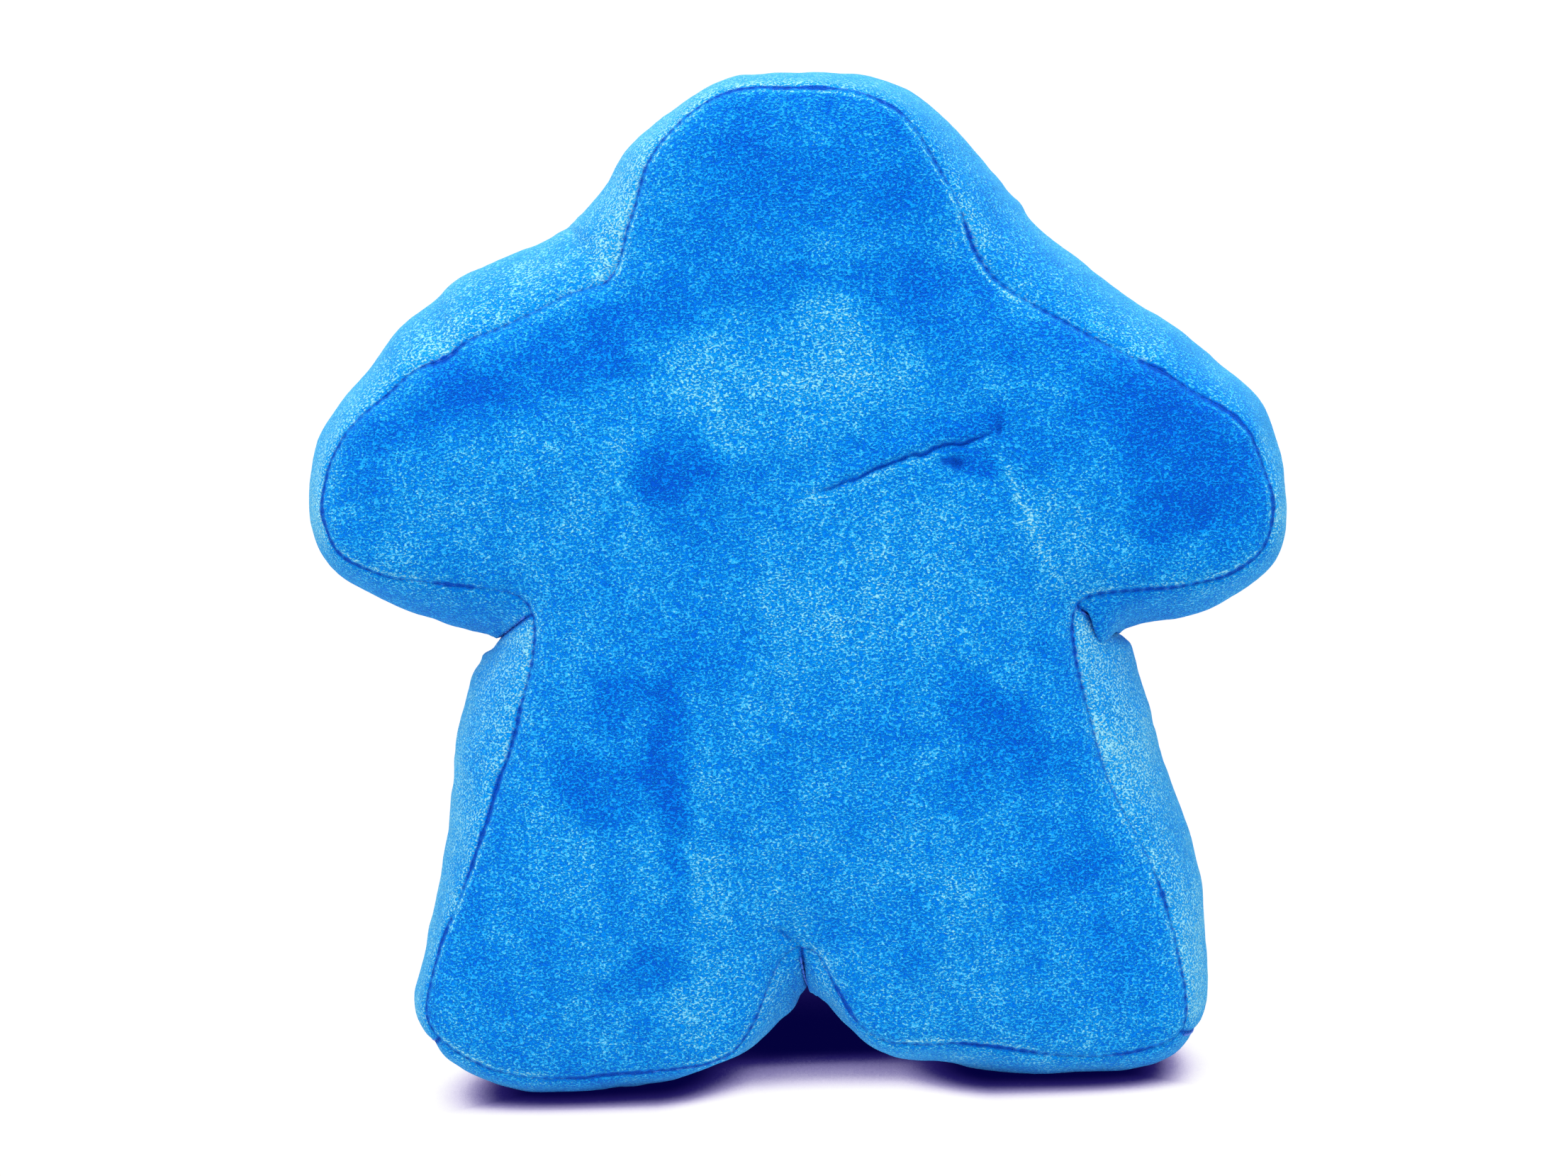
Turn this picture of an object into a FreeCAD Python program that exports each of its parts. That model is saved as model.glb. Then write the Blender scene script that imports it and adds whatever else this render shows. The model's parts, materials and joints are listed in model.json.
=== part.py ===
import FreeCAD, Part
import Sketcher
import math
import os
from FreeCAD import Vector, Placement, Rotation

# A plush toy in the shape of a board-game figure (meeple), sewn from short-pile
# velour: a front panel and a back panel joined by a boxing strip (gusset) that
# bulges outward all the way round, filled with loose polyester fibre.
# Millimetres.  +Z up, +Y toward the back panel, +X to the right of somebody
# facing the figure; left and right in the names are as that person sees them.
# Origin on the floor, midway between the front and the back seam.

doc = FreeCAD.newDocument("plush_figure")

# ------------------------------------------------------------------ tables
MAIN_SIZES = [
    ("cloth", 2.0, "velour with its pile, as sewn"),
    ("seam_half", 39.0, "half the distance between the two panel seams"),
    ("panel_rise", 13.0, "how far a panel domes out in the middle"),
    ("panel_gap", 0.35, "clearance between a panel and the gusset edge"),
    ("thread_radius", 0.45, "sewing thread, doubled"),
    ("thread_out", 0.55, "thread centre outside the seam outline"),
    ("thread_in", 1.05, "thread centre inside the seam plane"),
    ("hand_radius", 0.6, "hand sewing thread of the closed filling gap"),
    ("hand_out", 0.7, "hand sewing thread centre outside the seam outline"),
    ("label_wide", 16.0, "care label, along the seam"),
    ("label_thick", 0.5, "care label"),
    ("tab_long", 4.0, "sewn-in root of the care label"),
    ("flap_long", 18.0, "free leaf of the care label"),
]

# Seam outline: end points of a smooth chain of arcs, clockwise seen from the
# front, from the crotch.  x, z, outward normal x, outward normal z, radius of
# the arc that starts there (negative: convex, positive: concave).
OUTLINE = [
    (-4.42, 44.85, -0.0842, -0.9965, 4.5), (-8.18, 43.33, 0.7191, -0.6949, 30.84),
    (-10.91, 39.72, 0.8397, -0.543, 46.24), (-15.27, 31.15, 0.9147, -0.4041, -52.93),
    (-19.51, 22.52, 0.8537, -0.5208, -19.13), (-33.17, 13.54, 0.2034, -0.9791, -249.51),
    (-51.15, 11.67, 0.0673, -0.9977, -567.62), (-73.14, 10.61, -0.012, -0.9999, -61.72),
    (-94.58, 13.81, -0.3189, -0.9478, -49.99), (-108.4, 21.02, -0.6262, -0.7796, -12.51),
    (-113.23, 33.46, -0.9817, 0.1906, -97.7), (-104.87, 58.2, -0.9029, 0.4298, 305.97),
    (-94.22, 82.27, -0.931, 0.3651, 701.23), (-86.55, 102.76, -0.927, 0.375, 372.18),
    (-79.81, 123.56, -0.96, 0.28, 84.61), (-76.79, 139.51, -0.9998, -0.022, 9.54),
    (-83.95, 149.63, -0.245, -0.9695, 128.94), (-106.6, 153.25, -0.1144, -0.9934, -46.86),
    (-127.9, 160.08, -0.5238, -0.8519, -16.13), (-135.54, 172.67, -0.9915, -0.1304, -33.97),
    (-132.86, 188.52, -0.9187, 0.3949, -34.68), (-123.08, 201.57, -0.6465, 0.7629, -555.84),
    (-109.99, 212.05, -0.6132, 0.7899, -18.56), (-102.1, 215.62, -0.2355, 0.9719, 17.03),
    (-94.32, 219.33, -0.6448, 0.7643, -18.74), (-89.92, 222.1, -0.4142, 0.9102, -47.2),
    (-85.02, 223.98, -0.3058, 0.9521, 134.14), (-69.53, 230.04, -0.4042, 0.9147, -89.12),
    (-53.9, 235.6, -0.2459, 0.9693, 9.14), (-47.25, 242.35, -0.9299, 0.3679, -67.29),
    (-43.83, 252.85, -0.9222, 0.3866, 69.57), (-40.5, 262.87, -0.9583, 0.2859, -26.12),
    (-36.04, 272.23, -0.7991, 0.6012, -47.12), (-22.35, 284.47, -0.5206, 0.8538, -32.39),
    (-4.94, 288.96, 0.029, 0.9996, -165.89), (20.11, 286.32, 0.231, 0.973, -27.92),
    (39.02, 273.22, 0.8575, 0.5146, -158.58), (46.45, 259.33, 0.8869, 0.4619, -88.01),
    (51.86, 244.59, 0.9658, 0.2594, 29.65), (64.73, 227.17, 0.5508, 0.8347, 834.57),
    (84.61, 215.07, 0.5077, 0.8615, 186.43), (96.96, 208.41, 0.4634, 0.8862, -63.8),
    (108.73, 200.92, 0.626, 0.7798, 67.1), (119.91, 193.65, 0.5388, 0.8424, -19.55),
    (128.67, 184.48, 0.9078, 0.4194, -53.09), (133.48, 165.26, 0.9993, 0.0381, -19.02),
    (126.05, 149.07, 0.6079, -0.794, -30.75), (105.06, 142.82, 0.0499, -0.9988, 89.8),
    (81.86, 141.54, 0.1837, -0.983, 6.47), (76.58, 135.38, 0.9925, -0.1226, 65.9),
    (77.09, 125.01, 0.9919, 0.1274, 215.42), (81.59, 100.9, 0.9774, 0.2115, 109.15),
    (90.05, 78.0, 0.8935, 0.4491, -165.74), (100.49, 51.94, 0.9673, 0.2538, -95.0),
    (104.63, 24.37, 1.0, 0.0017, -10.72), (96.34, 13.92, 0.2961, -0.9552, -80.69),
    (79.52, 11.83, 0.0183, -0.9998, -86.41), (62.99, 13.12, -0.1431, -0.9897, 355.95),
    (46.52, 15.61, -0.1267, -0.9919, 110.83), (25.49, 16.29, -0.0076, -1.0, -18.43),
    (9.04, 24.39, -0.8295, -0.5585, -38.36), (6.04, 29.72, -0.8973, -0.4414, 162.42),
    (3.36, 35.24, -0.8912, -0.4535, -138.76), (0.4, 41.43, -0.8729, -0.488, 5.82),
]

# Gusset stations: seam x, seam z, direction of the bulge in degrees (from +X
# toward +Z), bulge.
GUSSET = {
    "top": [
        (-77.42, 143.37, -146.78, 18.0), (-93.28, 151.39, -100.15, 15.5), (-101.17, 152.72, -98.15, 14.33),
        (-109.12, 153.69, -98.44, 13.0), (-116.97, 155.2, -106.2, 11.07), (-124.39, 158.15, -116.94, 9.5),
        (-131.07, 162.5, -136.93, 9.0), (-134.79, 169.48, -163.66, 9.0), (-135.6, 177.41, 177.24, 9.2),
        (-134.09, 185.24, 162.43, 9.5), (-130.84, 192.54, 149.59, 10.09), (-126.05, 198.92, 136.71, 11.0),
        (-119.99, 204.15, 128.77, 12.55), (-113.68, 209.06, 128.14, 14.5), (-107.32, 213.9, 118.15, 16.69),
        (-99.76, 216.41, 112.62, 18.5), (-92.97, 220.44, 119.79, 19.41), (-85.73, 223.75, 110.58, 20.0),
        (-80.04, 225.64, 110.06, 20.33), (-74.46, 227.85, 112.58, 20.5), (-68.51, 230.47, 113.09, 20.5),
        (-62.5, 232.96, 110.23, 20.5), (-49.41, 238.41, 131.35, 22.0), (-44.12, 252.16, 160.17, 16.5),
        (-42.04, 257.51, 161.09, 14.16), (-40.41, 263.03, 160.95, 12.0), (-38.51, 268.19, 153.45, 10.31),
        (-35.58, 272.83, 142.98, 9.0), (-31.86, 276.88, 135.25, 8.07), (-27.81, 280.6, 129.78, 7.5),
        (-21.31, 285.24, 118.55, 7.14), (-13.87, 288.12, 103.6, 7.0), (-5.94, 288.98, 90.8, 7.11),
        (2.05, 288.48, 85.97, 7.3), (10.03, 287.91, 84.8, 7.44), (17.97, 286.94, 78.79, 7.6),
        (23.77, 285.44, 70.67, 7.75), (29.25, 283.0, 60.01, 8.0), (33.36, 280.17, 49.32, 8.59),
        (36.79, 276.54, 38.84, 9.5), (39.53, 272.36, 31.31, 10.71), (41.88, 267.95, 28.27, 12.0),
        (45.62, 260.88, 27.2, 13.47), (49.11, 253.68, 21.6, 15.0), (54.11, 238.24, 39.29, 20.0),
        (63.39, 228.28, 53.78, 20.0), (68.42, 225.02, 57.53, 19.64), (73.52, 221.86, 58.22, 18.83),
        (78.63, 218.7, 58.49, 18.0), (85.48, 214.57, 59.73, 17.04), (92.45, 210.64, 61.42, 16.0),
        (99.53, 206.91, 61.08, 14.76), (106.37, 202.79, 55.46, 13.5), (112.79, 198.01, 56.41, 12.39),
        (119.65, 193.9, 55.9, 11.3), (126.5, 188.12, 37.71, 10.0), (130.06, 181.0, 20.74, 9.0),
        (132.28, 173.32, 12.25, 8.5), (133.41, 165.4, 1.26, 8.3), (132.47, 157.5, -19.68, 8.3),
        (128.14, 150.87, -44.7, 8.6), (121.58, 146.34, -63.93, 9.5), (113.01, 143.69, -79.23, 11.0),
        (106.05, 142.92, -85.95, 12.13), (99.05, 142.69, -88.49, 13.3), (77.86, 139.17, -38.48, 17.5),
    ],
    "right_side": [
        (77.61, 138.86, -38.48, 17.5), (78.1, 118.59, 10.11, 17.5), (79.48, 111.72, 11.84, 17.71),
        (80.97, 104.88, 12.28, 18.09), (82.46, 98.04, 13.54, 18.3), (84.57, 90.32, 18.75, 17.85),
        (87.61, 82.93, 24.7, 17.0), (91.17, 75.76, 25.83, 16.03), (94.53, 68.5, 23.26, 15.0),
        (97.47, 61.06, 19.52, 14.14), (99.87, 53.43, 15.51, 13.3), (101.76, 45.66, 12.17, 12.32),
        (103.25, 37.8, 9.12, 11.5), (102.81, 17.97, -37.41, 10.5),
    ],
    "right_foot": [
        (102.57, 17.65, -37.41, 10.5), (98.23, 14.68, -63.61, 11.0), (92.45, 13.1, -78.25, 12.0),
        (84.51, 12.12, -85.31, 13.26), (76.52, 11.84, -91.12, 12.94), (68.54, 12.4, -95.99, 13.57),
        (60.61, 13.47, -98.47, 14.72), (52.71, 14.72, -98.57, 15.99), (44.78, 15.82, -96.33, 17.02),
        (38.3, 16.39, -92.84, 14.27), (31.81, 16.47, -89.74, 10.5), (22.81, 16.43, -96.97, 8.4),
        (16.29, 18.03, -115.24, 7.2), (11.43, 21.5, -134.4, 6.6), (6.96, 28.09, -150.53, 7.2),
        (2.91, 36.13, -153.09, 8.6), (-4.22, 44.85, -90.0, 15.5),
    ],
    "left_foot": [
        (-4.62, 44.85, -90.0, 15.5), (-12.08, 37.8, -30.56, 9.6), (-14.33, 33.33, -25.9, 9.45),
        (-16.36, 28.76, -25.4, 9.3), (-19.51, 22.52, -33.44, 7.8), (-24.04, 17.23, -52.76, 6.9),
        (-30.83, 14.15, -72.94, 7.0), (-40.18, 12.52, -83.34, 8.8), (-46.16, 12.01, -85.56, 11.12),
        (-52.15, 11.6, -86.25, 12.73), (-60.13, 11.11, -87.07, 12.22), (-68.13, 10.8, -89.02, 11.9),
        (-76.13, 10.85, -92.31, 11.96), (-84.1, 11.48, -97.64, 12.68), (-91.95, 13.01, -105.53, 11.8),
        (-99.45, 15.77, -115.32, 11.2), (-105.52, 19.25, -124.74, 10.6), (-109.7, 22.51, -137.21, 10.0),
    ],
    "left_side": [
        (-109.97, 22.8, -137.21, 10.0), (-113.54, 28.99, -169.33, 9.2), (-112.91, 34.93, 170.47, 8.92),
        (-111.42, 40.74, 164.49, 8.8), (-109.06, 48.38, 160.14, 9.36), (-105.98, 55.77, 155.76, 10.5),
        (-102.55, 63.0, 154.98, 12.13), (-99.24, 70.28, 156.26, 14.0), (-96.1, 77.64, 157.56, 15.63),
        (-93.15, 85.08, 159.64, 17.0), (-90.5, 92.63, 159.66, 18.12), (-87.56, 100.07, 158.22, 18.7),
        (-84.98, 106.58, 160.17, 18.67), (-82.82, 113.24, 163.03, 18.59), (-80.88, 119.96, 163.86, 18.5),
        (-77.21, 143.03, -146.78, 18.0),
    ],
}

# Pillow shape of a panel: poles of one cubic surface, height as a share of the
# full rise, zero along the seam outline and falling away outside it.  One list
# per pole in x, from -X to +X; along it one height per pole in z, upward.
DOME_KNOTS_X = [-144.0 + 9.0 * k for k in range(33)]
DOME_KNOTS_Z = [10.0 * k for k in range(31)]
DOME = [
    [-0.496, -0.49, -0.503, -0.488, -0.485, -0.492, -0.494, -0.502, -0.493, -0.493, -0.495,
     -0.496, -0.495, -0.495, -0.494, -0.495, -0.494, -0.498, -0.448, -0.438, -0.505, -0.477,
     -0.507, -0.492, -0.497, -0.494, -0.496, -0.495, -0.495, -0.495, -0.495, -0.495, -0.495],
    [-0.489, -0.525, -0.446, -0.538, -0.56, -0.514, -0.503, -0.453, -0.505, -0.51, -0.496,
     -0.489, -0.486, -0.506, -0.481, -0.532, -0.429, -0.632, -0.341, -0.28, -0.531, -0.572,
     -0.431, -0.509, -0.488, -0.499, -0.493, -0.497, -0.494, -0.495, -0.495, -0.495, -0.495],
    [-0.506, -0.439, -0.586, -0.416, -0.368, -0.46, -0.48, -0.573, -0.477, -0.466, -0.495,
     -0.503, -0.517, -0.461, -0.543, -0.383, -0.695, -0.131, 0.132, 0.119, -0.027, -0.519,
     -0.551, -0.499, -0.493, -0.495, -0.495, -0.494, -0.495, -0.495, -0.495, -0.495, -0.495],
    [-0.481, -0.567, -0.378, -0.592, -0.68, -0.542, -0.511, -0.39, -0.521, -0.529, -0.501,
     -0.472, -0.487, -0.498, -0.509, -0.491, -0.557, 0.144, 0.289, 0.21, 0.295, 0.08,
     -0.627, -0.392, -0.549, -0.468, -0.509, -0.488, -0.499, -0.492, -0.497, -0.494, -0.495],
    [-0.516, -0.389, -0.659, -0.392, -0.034, -0.423, -0.498, -0.682, -0.444, -0.44, -0.482,
     -0.54, -0.495, -0.512, -0.43, -0.573, -0.322, 0.372, 0.23, 0.522, 0.213, 0.333,
     -0.127, -0.757, -0.358, -0.566, -0.457, -0.513, -0.483, -0.503, -0.489, -0.498, -0.494],
    [-0.499, -0.444, -0.681, 0.074, 0.32, 0.298, 0.11, -0.166, -0.596, -0.622, -0.495,
     -0.44, -0.446, -0.552, -0.448, -0.672, -0.14, 0.282, 0.404, 0.448, 0.497, 0.244,
     0.251, -0.245, -0.648, -0.415, -0.538, -0.475, -0.509, -0.485, -0.503, -0.491, -0.496],
    [-0.473, -0.648, -0.225, 0.278, 0.22, 0.305, 0.249, 0.281, 0.107, -0.19, -0.525,
     -0.637, -0.528, -0.494, -0.372, -0.585, -0.128, 0.353, 0.401, 0.556, 0.509, 0.39,
     0.387, -0.276, -0.575, -0.451, -0.519, -0.476, -0.501, -0.494, -0.495, -0.495, -0.495],
    [-0.491, -0.554, -0.008, 0.221, 0.453, 0.478, 0.442, 0.344, 0.274, 0.285, 0.166,
     -0.074, -0.419, -0.612, -0.554, -0.729, 0.063, 0.306, 0.505, 0.584, 0.56, 0.529,
     0.2, 0.309, -0.563, -0.492, -0.493, -0.508, -0.496, -0.489, -0.501, -0.492, -0.496],
    [-0.494, -0.484, 0.03, 0.316, 0.401, 0.511, 0.51, 0.528, 0.48, 0.375, 0.305,
     0.292, 0.229, 0.058, -0.144, -0.352, 0.008, 0.437, 0.508, 0.657, 0.611, 0.566,
     0.442, 0.283, -0.256, -0.591, -0.447, -0.499, -0.476, -0.515, -0.476, -0.505, -0.493],
    [-0.49, -0.465, 0.061, 0.286, 0.48, 0.56, 0.607, 0.577, 0.577, 0.564, 0.546,
     0.419, 0.366, 0.3, 0.307, 0.315, 0.242, 0.495, 0.592, 0.685, 0.689, 0.622,
     0.46, 0.326, 0.013, -0.692, -0.398, -0.586, -0.475, -0.489, -0.505, -0.49, -0.496],
    [-0.494, -0.476, 0.031, 0.325, 0.453, 0.557, 0.638, 0.665, 0.662, 0.649, 0.615,
     0.618, 0.579, 0.543, 0.454, 0.408, 0.541, 0.585, 0.686, 0.729, 0.747, 0.643,
     0.594, 0.361, 0.209, -0.385, -0.574, -0.373, -0.506, -0.521, -0.465, -0.511, -0.492],
    [-0.492, -0.513, 0.02, 0.272, 0.493, 0.587, 0.658, 0.709, 0.721, 0.729, 0.733,
     0.696, 0.684, 0.657, 0.662, 0.672, 0.643, 0.714, 0.753, 0.786, 0.798, 0.692,
     0.664, 0.39, 0.413, -0.385, -0.574, -0.623, -0.531, -0.409, -0.58, -0.449, -0.503],
    [-0.491, -0.527, -0.058, 0.344, 0.413, 0.562, 0.654, 0.707, 0.762, 0.789, 0.778,
     0.795, 0.785, 0.777, 0.752, 0.744, 0.781, 0.797, 0.818, 0.851, 0.812, 0.784,
     0.621, 0.623, 0.156, 0.218, 0.091, -0.218, -0.443, -0.669, -0.324, -0.588, -0.48],
    [-0.485, -0.606, -0.012, 0.17, 0.512, 0.59, 0.611, 0.683, 0.744, 0.805, 0.851,
     0.838, 0.849, 0.843, 0.849, 0.855, 0.848, 0.868, 0.876, 0.886, 0.862, 0.783,
     0.74, 0.565, 0.572, 0.399, 0.248, 0.322, 0.216, -0.308, -0.743, -0.356, -0.518],
    [-0.482, -0.59, -0.31, 0.409, 0.213, 0.352, 0.524, 0.644, 0.723, 0.798, 0.849,
     0.9, 0.893, 0.905, 0.899, 0.902, 0.913, 0.916, 0.919, 0.924, 0.879, 0.843,
     0.759, 0.719, 0.575, 0.547, 0.513, 0.342, 0.27, 0.168, -0.429, -0.596, -0.476],
    [-0.494, -0.478, -0.614, -0.114, 0.23, 0.446, 0.408, 0.559, 0.697, 0.79, 0.856,
     0.901, 0.936, 0.934, 0.947, 0.949, 0.95, 0.952, 0.953, 0.943, 0.911, 0.868,
     0.824, 0.752, 0.722, 0.658, 0.542, 0.578, 0.375, 0.285, -0.05, -0.593, -0.486],
    [-0.5, -0.475, -0.503, -0.569, -0.534, -0.159, 0.139, 0.568, 0.64, 0.799, 0.849,
     0.911, 0.943, 0.965, 0.964, 0.973, 0.975, 0.974, 0.973, 0.958, 0.927, 0.895,
     0.849, 0.809, 0.748, 0.693, 0.674, 0.546, 0.48, 0.286, 0.056, -0.455, -0.497],
    [-0.484, -0.557, -0.378, -0.65, -0.343, -0.122, 0.099, 0.606, 0.623, 0.814, 0.842,
     0.921, 0.937, 0.977, 0.982, 0.988, 0.989, 0.988, 0.984, 0.967, 0.944, 0.913,
     0.88, 0.835, 0.797, 0.747, 0.662, 0.59, 0.475, 0.297, 0.019, -0.51, -0.492],
    [-0.514, -0.377, -0.758, -0.05, 0.216, 0.453, 0.435, 0.549, 0.712, 0.787, 0.87,
     0.903, 0.951, 0.958, 0.964, 0.973, 0.976, 0.976, 0.975, 0.959, 0.933, 0.903,
     0.863, 0.824, 0.773, 0.724, 0.674, 0.587, 0.427, 0.313, -0.04, -0.528, -0.49],
    [-0.479, -0.578, -0.422, 0.284, 0.283, 0.359, 0.53, 0.652, 0.728, 0.812, 0.855,
     0.914, 0.923, 0.934, 0.946, 0.943, 0.953, 0.954, 0.957, 0.943, 0.912, 0.875,
     0.832, 0.778, 0.732, 0.684, 0.603, 0.529, 0.49, 0.222, -0.033, -0.591, -0.488],
    [-0.48, -0.583, -0.361, 0.241, 0.382, 0.636, 0.61, 0.694, 0.753, 0.813, 0.87,
     0.877, 0.886, 0.893, 0.891, 0.911, 0.914, 0.921, 0.928, 0.921, 0.881, 0.843,
     0.782, 0.732, 0.653, 0.611, 0.544, 0.516, 0.237, 0.309, -0.284, -0.619, -0.476],
    [-0.483, -0.56, -0.432, 0.253, 0.352, 0.528, 0.652, 0.725, 0.77, 0.816, 0.811,
     0.829, 0.833, 0.837, 0.853, 0.834, 0.861, 0.875, 0.889, 0.89, 0.846, 0.792,
     0.726, 0.634, 0.557, 0.496, 0.384, 0.238, 0.326, 0.011, -0.685, -0.439, -0.501],
    [-0.479, -0.595, -0.335, 0.259, 0.389, 0.592, 0.629, 0.724, 0.743, 0.75, 0.769,
     0.762, 0.757, 0.749, 0.726, 0.782, 0.782, 0.815, 0.839, 0.852, 0.8, 0.743,
     0.65, 0.548, 0.414, 0.258, 0.345, 0.143, -0.204, -0.63, -0.469, -0.491, -0.497],
    [-0.478, -0.617, -0.197, 0.26, 0.401, 0.546, 0.628, 0.691, 0.688, 0.689, 0.66,
     0.667, 0.65, 0.647, 0.681, 0.604, 0.689, 0.74, 0.783, 0.806, 0.755, 0.67,
     0.579, 0.382, 0.233, 0.002, -0.173, -0.487, -0.662, -0.427, -0.511, -0.495, -0.494],
    [-0.488, -0.585, -0.092, 0.281, 0.439, 0.552, 0.624, 0.618, 0.6, 0.591, 0.59,
     0.54, 0.51, 0.463, 0.372, 0.544, 0.552, 0.656, 0.721, 0.757, 0.689, 0.619,
     0.479, 0.324, -0.009, -0.639, -0.61, -0.526, -0.405, -0.531, -0.486, -0.495, -0.495],
    [-0.49, -0.539, -0.002, 0.26, 0.41, 0.518, 0.536, 0.544, 0.544, 0.454, 0.355,
     0.349, 0.299, 0.28, 0.364, 0.119, 0.413, 0.581, 0.656, 0.717, 0.609, 0.56,
     0.298, 0.223, -0.413, -0.576, -0.366, -0.515, -0.521, -0.489, -0.49, -0.5, -0.494],
    [-0.491, -0.518, -0.018, 0.318, 0.435, 0.494, 0.473, 0.435, 0.314, 0.299, 0.241,
     0.13, -0.011, -0.148, -0.359, -0.168, 0.441, 0.448, 0.662, 0.613, 0.582, 0.427,
     0.339, -0.094, -0.691, -0.389, -0.594, -0.468, -0.49, -0.493, -0.502, -0.49, -0.496],
    [-0.486, -0.592, 0.004, 0.16, 0.329, 0.292, 0.288, 0.282, 0.267, 0.023, -0.337,
     -0.553, -0.629, -0.539, -0.759, -0.047, 0.28, 0.483, 0.577, 0.57, 0.531, 0.257,
     0.195, -0.505, -0.495, -0.496, -0.472, -0.493, -0.506, -0.491, -0.495, -0.495, -0.495],
    [-0.483, -0.596, -0.249, 0.424, 0.237, 0.283, 0.195, 0.011, -0.264, -0.639, -0.59,
     -0.452, -0.49, -0.372, -0.571, -0.156, 0.375, 0.377, 0.561, 0.489, 0.369, 0.388,
     -0.124, -0.659, -0.423, -0.531, -0.488, -0.506, -0.483, -0.501, -0.492, -0.496, -0.495],
    [-0.484, -0.527, -0.555, -0.156, -0.181, -0.293, -0.525, -0.59, -0.632, -0.42, -0.463,
     -0.483, -0.559, -0.442, -0.693, -0.073, 0.251, 0.432, 0.44, 0.496, 0.236, 0.143,
     -0.433, -0.545, -0.46, -0.515, -0.477, -0.5, -0.495, -0.496, -0.494, -0.496, -0.495],
    [-0.504, -0.459, -0.502, -0.629, -0.618, -0.6, -0.491, -0.456, -0.424, -0.526, -0.528,
     -0.473, -0.514, -0.423, -0.585, -0.277, 0.397, 0.211, 0.494, 0.188, 0.352, -0.221,
     -0.708, -0.385, -0.557, -0.461, -0.517, -0.486, -0.499, -0.492, -0.497, -0.494, -0.495],
    [-0.489, -0.518, -0.486, -0.421, -0.427, -0.433, -0.497, -0.515, -0.539, -0.473, -0.482,
     -0.496, -0.507, -0.495, -0.52, -0.509, 0.155, 0.281, 0.187, 0.285, 0.093, -0.652,
     -0.387, -0.549, -0.464, -0.512, -0.484, -0.5, -0.493, -0.496, -0.494, -0.496, -0.495],
    [-0.499, -0.477, -0.503, -0.55, -0.545, -0.542, -0.493, -0.481, -0.459, -0.516, -0.497,
     -0.51, -0.457, -0.55, -0.371, -0.707, -0.259, 0.038, 0.009, -0.193, -0.565, -0.512,
     -0.512, -0.488, -0.5, -0.492, -0.498, -0.494, -0.495, -0.495, -0.495, -0.495, -0.495],
    [-0.493, -0.505, -0.491, -0.466, -0.468, -0.47, -0.496, -0.502, -0.514, -0.484, -0.494,
     -0.488, -0.514, -0.468, -0.557, -0.387, -0.647, -0.458, -0.5, -0.583, -0.528, -0.46,
     -0.499, -0.492, -0.496, -0.495, -0.494, -0.495, -0.495, -0.495, -0.495, -0.495, -0.495],
    [-0.495, -0.493, -0.496, -0.5, -0.499, -0.499, -0.495, -0.494, -0.492, -0.497, -0.495,
     -0.496, -0.493, -0.498, -0.488, -0.506, -0.481, -0.489, -0.486, -0.492, -0.484, -0.503,
     -0.493, -0.496, -0.495, -0.495, -0.495, -0.495, -0.495, -0.495, -0.495, -0.495, -0.495],
]

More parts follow.
